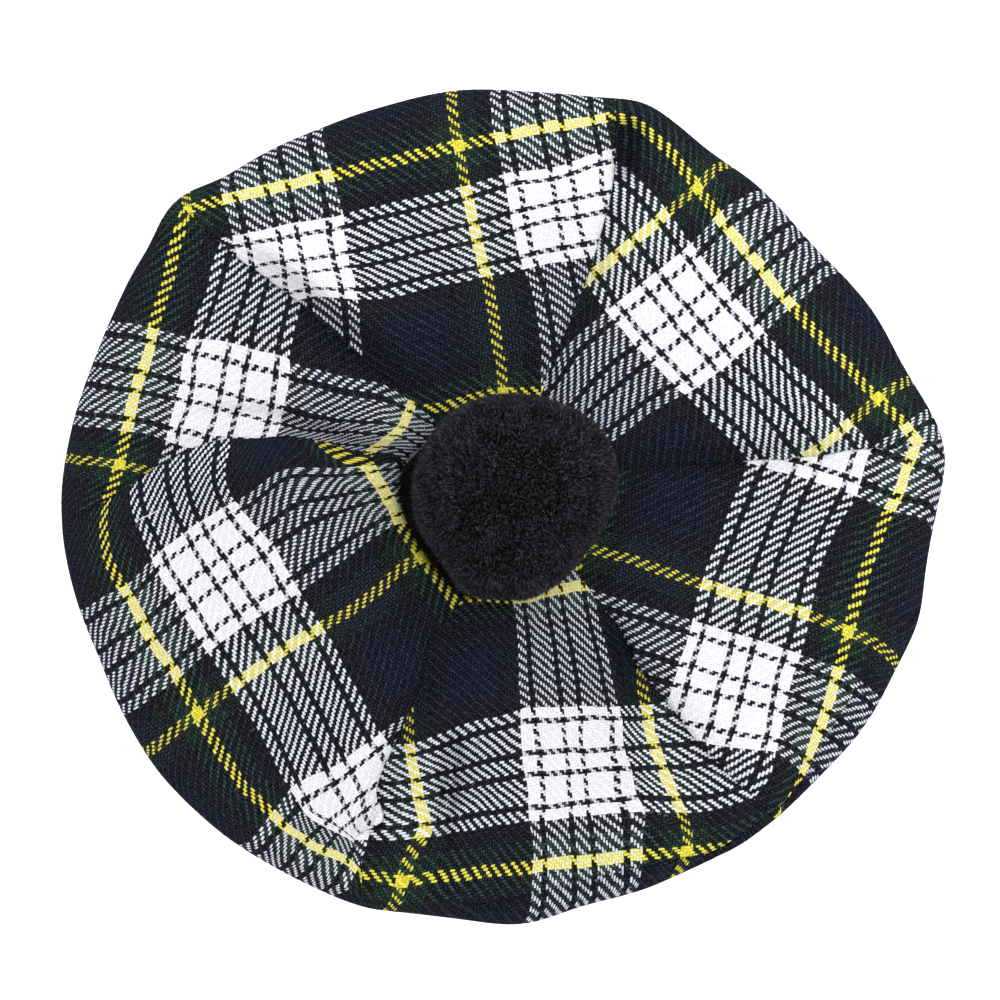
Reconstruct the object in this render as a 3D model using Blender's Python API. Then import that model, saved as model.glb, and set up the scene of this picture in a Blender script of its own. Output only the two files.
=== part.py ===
"""Tam o shanter lying at rest: six sewn cloth gores, a headband and a pompom.

Metres, +Z up. The origin is on the table under the middle of the hat. Seen from above,
+X is to the right and +Y is up, with the first gore at the top. The gores run clockwise.
Angles are in degrees, counterclockwise from +X, about the crown centre.
"""

import math
from collections import namedtuple

import bmesh
import bpy
import numpy as np
from mathutils import Vector

MM = 0.001

# Driving dimensions
CLOTH_THICKNESS = 1.6 * MM
PIECE_GAP = 0.3 * MM
CROWN_CENTRE = np.array((3.0, 3.5)) * MM
MEAN_RIM_RADIUS = 135.5 * MM
BAND_INNER_RADIUS = 92.0 * MM
BAND_THICKNESS = 3.0 * MM
BAND_HEIGHT = 27.0 * MM
BAND_EDGE_ROUNDING = 0.6 * MM
CROWN_HEIGHT = 63.0 * MM
POMPOM_RADIUS = 32.0 * MM
POMPOM_HEAD_RADIUS = 28.4 * MM
POMPOM_SEAT_DEPTH = 25.5 * MM
POMPOM_BARE_BAND = 4.5 * MM

# How finely the pieces are divided
GORE_COLUMNS = 12
BAND_SEGMENTS = 72
LOCK_INSET = 0.9 * MM
SMOOTH_ANGLE = math.radians(50)

# The rim seen from above, counterclockwise. The corners at 72 and 139 degrees are seams.
RimPoint = namedtuple("RimPoint", "angle radius_mm lift_mm")
RIM = (
    RimPoint(5, 138.3, 1.0),
    RimPoint(20, 131.1, -0.5),
    RimPoint(42, 124.7, -1.5),
    RimPoint(57, 126.4, 0.0),
    RimPoint(66, 129.5, 1.5),
    RimPoint(72, 132.3, 2.0),
    RimPoint(80, 130.1, 1.0),
    RimPoint(88, 129.0, 0.0),
    RimPoint(100, 130.7, -1.0),
    RimPoint(120, 132.8, 0.0),
    RimPoint(132, 137.0, 2.0),
    RimPoint(139, 143.4, 2.5),
    RimPoint(147, 141.0, 1.0),
    RimPoint(158, 139.9, 0.0),
    RimPoint(170, 142.4, 0.5),
    RimPoint(184, 144.0, 1.0),
    RimPoint(203, 141.5, -1.5),
    RimPoint(217, 143.2, -2.0),
    RimPoint(235, 141.6, -0.5),
    RimPoint(249, 140.5, 1.5),
    RimPoint(257, 137.2, 0.5),
    RimPoint(271, 137.2, -1.5),
    RimPoint(281, 132.5, -1.0),
    RimPoint(291, 132.1, -0.5),
    RimPoint(309, 132.9, 1.5),
    RimPoint(322, 133.4, 0.0),
    RimPoint(340, 134.5, -1.5),
    RimPoint(353, 134.2, -0.5),
)

# The meridian of the crown, from its centre over the rim to the headband.
# radius_fraction is a share of the rim's radius, and outline_share says how much of the
# rim's own outline a station follows. rows is the number of rows up to the next station.
BAND_GAP = 0.4 * MM
BAND_OUTER_RADIUS = BAND_INNER_RADIUS + BAND_THICKNESS
BAND_EDGE_FRACTION = (BAND_OUTER_RADIUS + BAND_GAP) / MEAN_RIM_RADIUS
Station = namedtuple(
    "Station", "name radius_fraction outline_share height_mm puff_mm seam_depth_mm rows")
MERIDIAN = (
    Station("tip", 0.045, 1.0, 63.0, 0.0, 0.0, 1),
    Station("pompom_seat", 0.13, 1.0, 63.0, 0.0, 0.0, 2),
    Station("pompom_edge", 0.26, 1.0, 65.5, 1.0, 2.5, 3),
    Station("crown", 0.45, 1.0, 62.0, 2.5, 3.5, 3),
    Station("shoulder", 0.68, 1.0, 53.0, 2.5, 3.5, 3),
    Station("upper_rim", 0.87, 1.0, 39.0, 1.0, 2.2, 2),
    Station("rim_turn", 0.965, 1.0, 28.0, 0.0, 0.6, 2),
    Station("rim", 1.0, 1.0, 19.5, 0.0, 0.0, 2),
    Station("lower_rim", 0.965, 0.95, 12.0, 0.0, 0.6, 2),
    Station("underside", 0.86, 0.6, 12.5, 1.0, 1.5, 2),
    Station("band_edge", BAND_EDGE_FRACTION, 0.0, 23.0, 0.0, 0.0, 0),
)
SEAM_WIDTH = 5.0 * MM

# The rim's lift starts at a share of its radius, and the folds end just above the rim.
LIFT_START = 0.3
FOLD_FADE_RUN = 12.0 * MM
FOLD_END_SHARE = 0.3

# The seams between the gores, clockwise, each with its angle at the radius fractions above it.
SEAM_STATIONS = (0.10, 0.30, 0.50, 0.60, 0.70, 0.85, 1.00)
Seam = namedtuple("Seam", "between angles")
SEAMS = (
    Seam("6 and 1", (137.0, 136.5, 137.6, 137.9, 138.2, 139.2, 138.8)),
    Seam("1 and 2", (74.0, 73.3, 71.3, 71.0, 71.5, 72.6, 75.5)),
    Seam("2 and 3", (11.0, 12.0, 8.6, 8.0, 7.0, 6.7, 7.4)),
    Seam("3 and 4", (-50.0, -50.6, -53.9, -53.3, -53.1, -52.2, -50.9)),
    Seam("4 and 5", (-113.0, -116.0, -115.4, -115.2, -115.2, -113.6, -109.7)),
    Seam("5 and 6", (-195.0, -195.2, -195.2, -192.5, -189.7, -181.8, -175.6)),
)

# Folds that run outward from the pompom. Each has a steep flank and a gentle one.
Fold = namedtuple("Fold", "name inner_mm outer_mm angles height_mm ccw_width_mm cw_width_mm")
FOLDS = (
    Fold("gore 1 over gore 6", 38, 128, (125, 131, 135), 6.0, 6, 16),
    Fold("gore 1 over gore 2", 34, 120, (78, 74.5, 75.5), 5.0, 16, 5),
    Fold("dent below the corner", 104, 130, (72, 72, 72), -5.0, 6, 6),
    Fold("gore 2 over gore 3", 52, 132, (18, 12, 10), 3.5, 14, 5),
    Fold("gore 3 over gore 4", 42, 128, (-48, -51.5, -50.5), 6.5, 16, 5),
    Fold("ridge in gore 4", 38, 114, (-55, -62, -63), 4.5, 5, 14),
    Fold("gore 5 over gore 4", 42, 134, (-119, -119, -113), 4.0, 5, 14),
    Fold("gore 5 over gore 6", 33, 124, (-188, -191.5, -181), 6.5, 16, 5),
    Fold("pucker beside the pompom", 28, 52, (152, 152, 153), 3.0, 5, 5),
    Fold("pucker in gore 4", 76, 104, (-101, -101, -101), -4.0, 6, 6),
    Fold("nook in gore 5", 102, 124, (-104, -107, -109), 2.5, 5, 5),
)

# Creases that run along the rim.
RimCrease = namedtuple("RimCrease", "name from_angle to_angle radius_mm depth_mm width_mm")
RIM_CREASES = (
    RimCrease("under gore 4", -89, -68, 126.0, 2.5, 5),
    RimCrease("under gore 3", -48, -24, 127.0, 2.5, 5),
)

Look = namedtuple("Look", "name color roughness")
TARTAN = Look("tartan_wool", (0.065, 0.075, 0.09, 1.0), 0.9)
BAND_CLOTH = Look("band_cloth", (0.025, 0.028, 0.045, 1.0), 0.9)
PILE = Look("pompom_pile", (0.012, 0.012, 0.014, 1.0), 0.95)


def smooth_values(x, knots, values):
    """Cubic through (knots, values), with slopes from each knot's neighbours, straight outside."""
    knots = np.asarray(knots, float)
    values = np.asarray(values, float)
    slopes = np.gradient(values, knots)
    within = np.clip(x, knots[0], knots[-1])
    i = np.clip(np.searchsorted(knots, within, side="right") - 1, 0, len(knots) - 2)
    step = knots[i + 1] - knots[i]
    u = (within - knots[i]) / step
    rise = values[i + 1] - values[i]
    bend = slopes[i] * step * (u - 2 * u**2 + u**3) + slopes[i + 1] * step * (u**3 - u**2)
    beyond = (x - within) * np.where(x < within, slopes[0], slopes[-1])
    return values[i] + rise * (3 * u**2 - 2 * u**3) + bend + beyond


def smooth_step(x, start, end):
    u = np.clip((x - start) / (end - start), 0.0, 1.0)
    return u * u * (3 - 2 * u)


def rim_value(angle, column):
    """A column of the rim's table at an angle, closed round the hat."""
    angles = [p.angle for p in RIM]
    values = [getattr(p, column) * MM for p in RIM]
    knots = [a - 360 for a in angles[-3:]] + angles + [a + 360 for a in angles[:3]]
    return smooth_values(np.mod(angle, 360.0), knots, values[-3:] + values + values[:3])


def meridian_knots():
    """Distance along the meridian at each station, on a hat with a round rim."""
    radii = [s.radius_fraction * MEAN_RIM_RADIUS for s in MERIDIAN]
    heights = [s.height_mm * MM for s in MERIDIAN]
    steps = np.hypot(np.diff(radii), np.diff(heights))
    return np.concatenate(([0.0], np.cumsum(steps)))


MERIDIAN_KNOTS = meridian_knots()
RIM_DISTANCE = MERIDIAN_KNOTS[[s.name for s in MERIDIAN].index("rim")]


def meridian_value(distance, column, scale=1.0):
    values = [getattr(s, column) * scale for s in MERIDIAN]
    return smooth_values(distance, MERIDIAN_KNOTS, values)


def seam_angle(index, radius_fraction):
    """Angle of a seam. Seam 6 is seam 0 after a whole clockwise turn."""
    turns, seam = divmod(index, len(SEAMS))
    angle = smooth_values(radius_fraction, SEAM_STATIONS, SEAMS[seam].angles)
    return angle - 360.0 * turns


def gore_position(angle, radius_fraction):
    """Share of the way across the gore that holds an angle, and degrees to its nearest seam."""
    first = seam_angle(0, radius_fraction)
    turned = np.mod(first - angle, 360.0)
    across = np.zeros_like(turned)
    nearest = np.full_like(turned, 360.0)
    for gore in range(len(SEAMS)):
        start = first - seam_angle(gore, radius_fraction)
        end = first - seam_angle(gore + 1, radius_fraction)
        inside = (turned >= start) & (turned <= end)
        across = np.where(inside, (turned - start) / (end - start), across)
        near = np.minimum(np.abs(turned - start), np.abs(end - turned))
        nearest = np.where(inside, near, nearest)
    return across, nearest


def two_sided_bump(distance, ccw_width, cw_width):
    width = np.where(distance > 0, ccw_width, cw_width)
    return np.exp(-(distance / width) ** 2)


def fold_height(angle, radius):
    """Height that the folds and the rim's creases add to the top of the crown."""
    height = np.zeros_like(radius)
    for fold in FOLDS:
        inner = fold.inner_mm * MM
        outer = fold.outer_mm * MM
        path = smooth_values(radius, (inner, (inner + outer) / 2, outer), fold.angles)
        off = np.radians(np.mod(angle - path + 180.0, 360.0) - 180.0) * radius
        end_run = FOLD_END_SHARE * (outer - inner)
        ends = smooth_step(radius, inner, inner + end_run)
        ends *= smooth_step(-radius, -outer, end_run - outer)
        shape = two_sided_bump(off, fold.ccw_width_mm * MM, fold.cw_width_mm * MM)
        height += fold.height_mm * MM * shape * ends
    for crease in RIM_CREASES:
        middle = (crease.from_angle + crease.to_angle) / 2
        half = (crease.to_angle - crease.from_angle) / 2
        off_middle = np.mod(angle - middle + 180.0, 360.0) - 180.0
        ends = smooth_step(-np.abs(off_middle), -half, 0.0)
        shape = np.exp(-((radius - crease.radius_mm * MM) / (crease.width_mm * MM)) ** 2)
        height -= crease.depth_mm * MM * shape * ends
    return height


def crown_surface(angle, distance):
    """Outer face of the crown at an angle and a distance along the meridian."""
    angle = np.asarray(angle, float)
    distance = np.asarray(distance, float)
    fraction = meridian_value(distance, "radius_fraction")
    share = meridian_value(distance, "outline_share")
    height = meridian_value(distance, "height_mm", MM)
    probe = 0.2 * MM
    slope_out = meridian_value(distance + probe, "radius_fraction") \
        - meridian_value(distance - probe, "radius_fraction")
    slope_up = meridian_value(distance + probe, "height_mm", MM) \
        - meridian_value(distance - probe, "height_mm", MM)
    slope_out = slope_out * MEAN_RIM_RADIUS
    length = np.hypot(slope_out, slope_up)
    outward = -slope_up / length
    upward = slope_out / length

    round_rim = (1 - share) * MEAN_RIM_RADIUS
    radius = fraction * (share * rim_value(angle, "radius_mm") + round_rim)
    across, nearest = gore_position(angle, fraction)
    swell = meridian_value(distance, "puff_mm", MM) * np.sin(np.pi * across)
    seam_off = np.radians(nearest) * radius
    swell -= meridian_value(distance, "seam_depth_mm", MM) * np.exp(-(seam_off / SEAM_WIDTH) ** 2)

    on_top = smooth_step(-distance, -RIM_DISTANCE, FOLD_FADE_RUN - RIM_DISTANCE)
    lift = rim_value(angle, "lift_mm") * share * smooth_step(fraction, LIFT_START, 1.0)
    radius_out = radius + outward * swell
    x = CROWN_CENTRE[0] * share + radius_out * np.cos(np.radians(angle))
    y = CROWN_CENTRE[1] * share + radius_out * np.sin(np.radians(angle))
    z = height + lift + upward * swell + on_top * fold_height(angle, radius)
    return np.stack((x, y, z), axis=-1)


def crown_normal(angle, distance):
    """Unit normal of the crown's outer face, the same from both sides of a seam."""
    turn = 0.6
    step = 0.5 * MM
    along = crown_surface(angle, distance + step) - crown_surface(angle, distance - step)
    around = crown_surface(angle + turn, distance) - crown_surface(angle - turn, distance)
    normal = np.cross(along, around)
    return normal / np.linalg.norm(normal, axis=-1, keepdims=True)


def meridian_rows():
    rows = []
    for station, start, end in zip(MERIDIAN, MERIDIAN_KNOTS, MERIDIAN_KNOTS[1:]):
        rows.extend(np.linspace(start, end, station.rows, endpoint=False))
    rows.append(MERIDIAN_KNOTS[-1])
    return np.array(rows)


def gore_grids(gore):
    """Outer and inner face of one gore, as grids of points with a row for each distance."""
    rows = meridian_rows()
    spread = (1 - np.cos(np.linspace(0, np.pi, GORE_COLUMNS + 1))) / 2
    distance, across = np.meshgrid(rows, spread, indexing="ij")
    fraction = meridian_value(distance, "radius_fraction")
    radius = fraction * MEAN_RIM_RADIUS
    half_gap = np.degrees(PIECE_GAP / 2 / radius)
    start = seam_angle(gore, fraction) - half_gap
    end = seam_angle(gore + 1, fraction) + half_gap
    angle = start + (end - start) * across
    outer = crown_surface(angle, distance)
    inner = outer - CLOTH_THICKNESS * crown_normal(angle, distance)
    return outer, inner


def make_material(look):
    material = bpy.data.materials.new(look.name)
    material.use_nodes = True
    shader = material.node_tree.nodes["Principled BSDF"]
    shader.inputs["Base Color"].default_value = look.color
    shader.inputs["Roughness"].default_value = look.roughness
    shader.inputs["Metallic"].default_value = 0.0
    return material


def add_object(name, bm, material):
    """Turn a bmesh into an object of its own, with its faces pointing out."""
    bmesh.ops.recalc_face_normals(bm, faces=bm.faces)
    mesh = bpy.data.meshes.new(name)
    bm.to_mesh(mesh)
    bm.free()
    mesh.shade_smooth()
    mesh.set_sharp_from_angle(angle=SMOOTH_ANGLE)
    mesh.materials.append(material)
    obj = bpy.data.objects.new(name, mesh)
    bpy.context.scene.collection.objects.link(obj)
    return obj


def add_grid(bm, points):
    rows, columns = points.shape[:2]
    verts = [[bm.verts.new(points[r, c]) for c in range(columns)] for r in range(rows)]
    for r in range(rows - 1):
        for c in range(columns - 1):
            bm.faces.new((verts[r][c], verts[r][c + 1], verts[r + 1][c + 1], verts[r + 1][c]))
    return verts


def border(verts):
    """The grid's border, once round."""
    loop = list(verts[0])
    loop += [row[-1] for row in verts[1:]]
    loop += verts[-1][-2::-1]
    loop += [row[0] for row in verts[-2:0:-1]]
    return loop


def make_gore(gore, material):
    """One wedge of cloth: two faces, and a wall along its seams, tip and hem."""
    bm = bmesh.new()
    outer, inner = gore_grids(gore)
    outer_loop = border(add_grid(bm, outer))
    inner_loop = border(add_grid(bm, inner))
    count = len(outer_loop)
    for i in range(count):
        j = (i + 1) % count
        bm.faces.new((outer_loop[i], outer_loop[j], inner_loop[j], inner_loop[i]))
    return add_object(f"crown_gore_{gore + 1}", bm, material)


def make_headband(material):
    """Upright band of folded cloth, turned round the hat's axis, flat where it rests."""
    bm = bmesh.new()
    inner = BAND_INNER_RADIUS
    outer = BAND_OUTER_RADIUS
    edge = BAND_EDGE_ROUNDING
    top = BAND_HEIGHT
    section = (
        (inner + edge, 0.0), (outer - edge, 0.0),
        (outer, edge), (outer, top - edge),
        (outer - edge, top), (inner + edge, top),
        (inner, top - edge), (inner, edge),
    )
    verts = [bm.verts.new((radius, 0.0, z)) for radius, z in section]
    edges = [bm.edges.new((verts[i - 1], verts[i])) for i in range(len(verts))]
    bmesh.ops.spin(
        bm, geom=verts + edges, cent=(0, 0, 0), axis=(0, 0, 1), dvec=(0, 0, 0),
        angle=2 * math.pi, steps=BAND_SEGMENTS, use_merge=True)
    return add_object("headband", bm, material)


def make_pompom(material):
    """Clipped ball of pile: a round head with tapered locks, flat where it sits."""
    bm = bmesh.new()
    bmesh.ops.create_icosphere(bm, subdivisions=3, radius=POMPOM_HEAD_RADIUS)
    for vert in bm.verts:
        vert.co.z = max(vert.co.z, -POMPOM_SEAT_DEPTH)
    lock_floor = -POMPOM_SEAT_DEPTH + POMPOM_BARE_BAND
    locks = [face for face in bm.faces if face.calc_center_median().z > lock_floor]
    bmesh.ops.inset_individual(
        bm, faces=locks, thickness=LOCK_INSET, depth=POMPOM_RADIUS - POMPOM_HEAD_RADIUS)
    seat_height = CROWN_HEIGHT + PIECE_GAP + POMPOM_SEAT_DEPTH
    bmesh.ops.translate(
        bm, verts=bm.verts, vec=Vector((CROWN_CENTRE[0], CROWN_CENTRE[1], seat_height)))
    return add_object("pompom", bm, material)


def main():
    for obj in list(bpy.data.objects):
        bpy.data.objects.remove(obj, do_unlink=True)
    tartan = make_material(TARTAN)
    for gore in range(len(SEAMS)):
        make_gore(gore, tartan)
    make_headband(make_material(BAND_CLOTH))
    make_pompom(make_material(PILE))


main()
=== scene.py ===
import math
from collections import namedtuple

import bmesh
import bpy
import numpy as np
from mathutils import Matrix, Vector, noise


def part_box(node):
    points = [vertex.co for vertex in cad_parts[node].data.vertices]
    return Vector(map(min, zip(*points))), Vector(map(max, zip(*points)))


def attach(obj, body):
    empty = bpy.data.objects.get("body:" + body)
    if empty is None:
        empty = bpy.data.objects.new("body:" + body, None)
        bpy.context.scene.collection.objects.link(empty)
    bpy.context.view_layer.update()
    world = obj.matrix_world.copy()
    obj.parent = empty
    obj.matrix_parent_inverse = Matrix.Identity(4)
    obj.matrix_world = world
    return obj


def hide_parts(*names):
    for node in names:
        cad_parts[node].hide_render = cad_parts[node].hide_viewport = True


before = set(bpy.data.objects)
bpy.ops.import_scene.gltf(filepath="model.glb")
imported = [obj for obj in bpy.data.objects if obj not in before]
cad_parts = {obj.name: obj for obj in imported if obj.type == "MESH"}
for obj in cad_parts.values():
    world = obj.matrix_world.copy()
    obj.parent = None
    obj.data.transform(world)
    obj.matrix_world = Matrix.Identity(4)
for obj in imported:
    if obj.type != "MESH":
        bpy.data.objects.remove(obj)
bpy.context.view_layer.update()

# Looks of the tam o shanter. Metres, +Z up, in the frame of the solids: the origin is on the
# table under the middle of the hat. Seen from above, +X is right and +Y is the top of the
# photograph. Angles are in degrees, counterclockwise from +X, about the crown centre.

MM = 0.001

# ---------------------------------------------------------------- dimensions of the solids
CLOTH_THICKNESS = 1.6 * MM
CROWN_CENTRE = np.array((3.0, 3.5)) * MM
MEAN_RIM_RADIUS = 135.5 * MM
BAND_INNER_RADIUS = 92.0 * MM
BAND_THICKNESS = 3.0 * MM
BAND_HEIGHT = 27.0 * MM
POMPOM_RADIUS = 32.0 * MM
POMPOM_HEAD_RADIUS = 28.4 * MM
POMPOM_SEAT_DEPTH = 25.5 * MM

# ---------------------------------------------------------------- the photograph's frame
# The photograph is 1000 by 1000 pixels. On the plane of the rim, 280 mm is 877 of them.
PHOTO_SIZE = 1000
SCALE_LENGTH = 280.0 * MM
SCALE_LENGTH_PIXELS = 877
PHOTO_SCALE = SCALE_LENGTH / SCALE_LENGTH_PIXELS
PHOTO_ORIGIN = (502.5, 506.0)
CAMERA_DISTANCE = 4.0
RIM_PLANE = 20.0 * MM

# ---------------------------------------------------------------- the cloth
THREAD_PITCH = 0.87 * MM
SETT_THREADS = 102

RimPoint = namedtuple("RimPoint", "angle radius_mm lift_mm")
RIM = (
    RimPoint(5, 138.3, 1.0),
    RimPoint(20, 131.1, -0.5),
    RimPoint(42, 124.7, -1.5),
    RimPoint(57, 126.4, 0.0),
    RimPoint(66, 129.5, 1.5),
    RimPoint(72, 132.3, 2.0),
    RimPoint(80, 130.1, 1.0),
    RimPoint(88, 129.0, 0.0),
    RimPoint(100, 130.7, -1.0),
    RimPoint(120, 132.8, 0.0),
    RimPoint(132, 137.0, 2.0),
    RimPoint(139, 143.4, 2.5),
    RimPoint(147, 141.0, 1.0),
    RimPoint(158, 139.9, 0.0),
    RimPoint(170, 142.4, 0.5),
    RimPoint(184, 144.0, 1.0),
    RimPoint(203, 141.5, -1.5),
    RimPoint(217, 143.2, -2.0),
    RimPoint(235, 141.6, -0.5),
    RimPoint(249, 140.5, 1.5),
    RimPoint(257, 137.2, 0.5),
    RimPoint(271, 137.2, -1.5),
    RimPoint(281, 132.5, -1.0),
    RimPoint(291, 132.1, -0.5),
    RimPoint(309, 132.9, 1.5),
    RimPoint(322, 133.4, 0.0),
    RimPoint(340, 134.5, -1.5),
    RimPoint(353, 134.2, -0.5),
)

BAND_GAP = 0.4 * MM
BAND_OUTER_RADIUS = BAND_INNER_RADIUS + BAND_THICKNESS
BAND_EDGE_FRACTION = (BAND_OUTER_RADIUS + BAND_GAP) / MEAN_RIM_RADIUS
Station = namedtuple(
    "Station", "name radius_fraction outline_share height_mm puff_mm seam_depth_mm")
MERIDIAN = (
    Station("tip", 0.045, 1.0, 63.0, 0.0, 0.0),
    Station("pompom_seat", 0.13, 1.0, 63.0, 0.0, 0.0),
    Station("pompom_edge", 0.26, 1.0, 65.5, 1.0, 2.5),
    Station("crown", 0.45, 1.0, 62.0, 2.5, 3.5),
    Station("shoulder", 0.68, 1.0, 53.0, 2.5, 3.5),
    Station("upper_rim", 0.87, 1.0, 39.0, 1.0, 2.2),
    Station("rim_turn", 0.965, 1.0, 28.0, 0.0, 0.6),
    Station("rim", 1.0, 1.0, 19.5, 0.0, 0.0),
    Station("lower_rim", 0.965, 0.95, 12.0, 0.0, 0.6),
    Station("underside", 0.86, 0.6, 12.5, 1.0, 1.5),
    Station("band_edge", BAND_EDGE_FRACTION, 0.0, 23.0, 0.0, 0.0),
)
MERIDIAN_PROBE = 0.2 * MM
NORMAL_STEP = 0.5 * MM
NORMAL_TURN = 0.6
SEAM_WIDTH = 5.0 * MM
LIFT_START = 0.3
FOLD_FADE_RUN = 12.0 * MM
FOLD_END_SHARE = 0.3

SEAM_STATIONS = (0.10, 0.30, 0.50, 0.60, 0.70, 0.85, 1.00)
Seam = namedtuple("Seam", "between angles")
SEAMS = (
    Seam("6 and 1", (137.0, 136.5, 137.6, 137.9, 138.2, 139.2, 138.8)),
    Seam("1 and 2", (74.0, 73.3, 71.3, 71.0, 71.5, 72.6, 75.5)),
    Seam("2 and 3", (11.0, 12.0, 8.6, 8.0, 7.0, 6.7, 7.4)),
    Seam("3 and 4", (-50.0, -50.6, -53.9, -53.3, -53.1, -52.2, -50.9)),
    Seam("4 and 5", (-113.0, -116.0, -115.4, -115.2, -115.2, -113.6, -109.7)),
    Seam("5 and 6", (-195.0, -195.2, -195.2, -192.5, -189.7, -181.8, -175.6)),
)

Fold = namedtuple("Fold", "name inner_mm outer_mm angles height_mm ccw_width_mm cw_width_mm")
FOLDS = (
    Fold("gore 1 over gore 6", 38, 128, (125, 131, 135), 6.0, 6, 16),
    Fold("gore 1 over gore 2", 34, 120, (78, 74.5, 75.5), 5.0, 16, 5),
    Fold("dent below the corner", 104, 130, (72, 72, 72), -5.0, 6, 6),
    Fold("gore 2 over gore 3", 52, 132, (18, 12, 10), 3.5, 14, 5),
    Fold("gore 3 over gore 4", 42, 128, (-48, -51.5, -50.5), 6.5, 16, 5),
    Fold("ridge in gore 4", 38, 114, (-55, -62, -63), 4.5, 5, 14),
    Fold("gore 5 over gore 4", 42, 134, (-119, -119, -113), 4.0, 5, 14),
    Fold("gore 5 over gore 6", 33, 124, (-188, -191.5, -181), 6.5, 16, 5),
    Fold("pucker beside the pompom", 28, 52, (152, 152, 153), 3.0, 5, 5),
    Fold("pucker in gore 4", 76, 104, (-101, -101, -101), -4.0, 6, 6),
    Fold("nook in gore 5", 102, 124, (-104, -107, -109), 2.5, 5, 5),
)
RimCrease = namedtuple("RimCrease", "name from_angle to_angle radius_mm depth_mm width_mm")
RIM_CREASES = (
    RimCrease("under gore 4", -89, -68, 126.0, 2.5, 5),
    RimCrease("under gore 3", -48, -24, 127.0, 2.5, 5),
)

# ---------------------------------------------------------------- finer form, in the cloth alone
RimTrim = namedtuple("RimTrim", "angle radius_mm")
RIM_TRIM = (
    RimTrim(0, 0.0), RimTrim(8, 0.6), RimTrim(15, -0.2), RimTrim(28, 1.0), RimTrim(38, 0.2),
    RimTrim(52, 0.9), RimTrim(60, -0.5), RimTrim(66, 0.3), RimTrim(76, -0.9), RimTrim(88, 0.3),
    RimTrim(108, -0.6), RimTrim(123, 0.4), RimTrim(132, 0.0), RimTrim(143, -1.1),
    RimTrim(150, -0.3), RimTrim(164, -0.4), RimTrim(186, 0.0), RimTrim(206, 0.4),
    RimTrim(220, 0.0), RimTrim(232, 0.2), RimTrim(244, -1.3), RimTrim(253, 0.0),
    RimTrim(266, -0.6), RimTrim(275, 0.0), RimTrim(285, 0.9), RimTrim(297, 0.5),
    RimTrim(308, 0.5), RimTrim(315, 0.0), RimTrim(325, 0.9), RimTrim(335, 0.6),
    RimTrim(344, 1.3), RimTrim(350, 0.3), RimTrim(356, 0.0),
)
FINE_FOLDS = (
    Fold("sharp edge of gore 4's ridge", 36, 116, (-50, -63, -64), 2.5, 2, 6),
    Fold("valley beside that ridge", 44, 86, (-51, -56.5, -60), -3.5, 3, 3),
    Fold("pinch in gore 1's corner", 102, 127, (70.8, 71.6, 73.0), -6.5, 2.5, 5),
    Fold("pinch in gore 5's square", 106, 122, (-113, -114, -115), -2.5, 1.5, 1.5),
    Fold("valley under gore 5's edge", 40, 118, (-197, -198, -191), -2.0, 4, 3),
    Fold("steep left edge of gore 1", 56, 128, (129, 133, 135.5), 3.0, 4, 9),
    Fold("steep right edge of gore 1", 60, 118, (76.5, 74.0, 75.0), 1.6, 6, 3),
    Fold("valley in gore 4", 70, 119, (-104, -102.2, -100.8), -6.0, 2.6, 3.2),
)
FINE_CREASES = (
    RimCrease("under gore 5's corner", -123, -102, 119.0, 2.0, 2.0),
)

# Tucks near the rim, where the top of the cloth slides out over some of its own threads.
Tuck = namedtuple("Tuck", "gore angles radii_mm hidden_threads")
TUCKS = (
    Tuck(4, (-97, -76, -64, -61, -58, -55, -51), (130.8, 124.2, 127.8, 129.9, 130.2, 130.0, 129.6),
         (5, 10, 13, 12, 12, 13, 14)),
    Tuck(3, (-48, -35, -24), (130.6, 125.6, 126.3), (13, 11, 7)),
)
TUCK_END = 3.0
TUCK_OVERHANG = 0.25 * MM
TUCK_DEPTH = 2.2 * MM
TUCK_RUN_ROWS = 2.0
TUCK_RISE_ROWS = 3.5

# Where one gore's edge lies over its neighbour's. over is 1 for the clockwise gore, or -1.
SeamStep = namedtuple("SeamStep", "between over height_mm")
SEAM_STEPS = (
    SeamStep("6 and 1", 1, 1.4),
    SeamStep("1 and 2", -1, 1.6),
    SeamStep("2 and 3", -1, 0.9),
    SeamStep("3 and 4", -1, 1.4),
    SeamStep("4 and 5", 1, 1.2),
    SeamStep("5 and 6", -1, 1.4),
)
STEP_RUN = 2.6 * MM
STEP_REACH = (0.28, 0.45, 0.80, 0.91)
SeamJog = namedtuple("SeamJog", "seam radius_fraction degrees width_fraction")
SEAM_JOGS = (
    SeamJog(2, 0.78, 0.9, 0.08),
    SeamJog(3, 0.42, 1.5, 0.06),
    SeamJog(4, 0.375, -3.0, 0.05),
    SeamJog(4, 0.80, 2.6, 0.035),
    SeamJog(4, 0.87, -1.4, 0.03),
)
Crevice = namedtuple("Crevice", "from_angle to_angle inner_mm margin_mm depth_mm wall_mm")
POMPOM_CREVICE = Crevice(148, 256, 23.0, 0.3, 10.0, 1.4)

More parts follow.
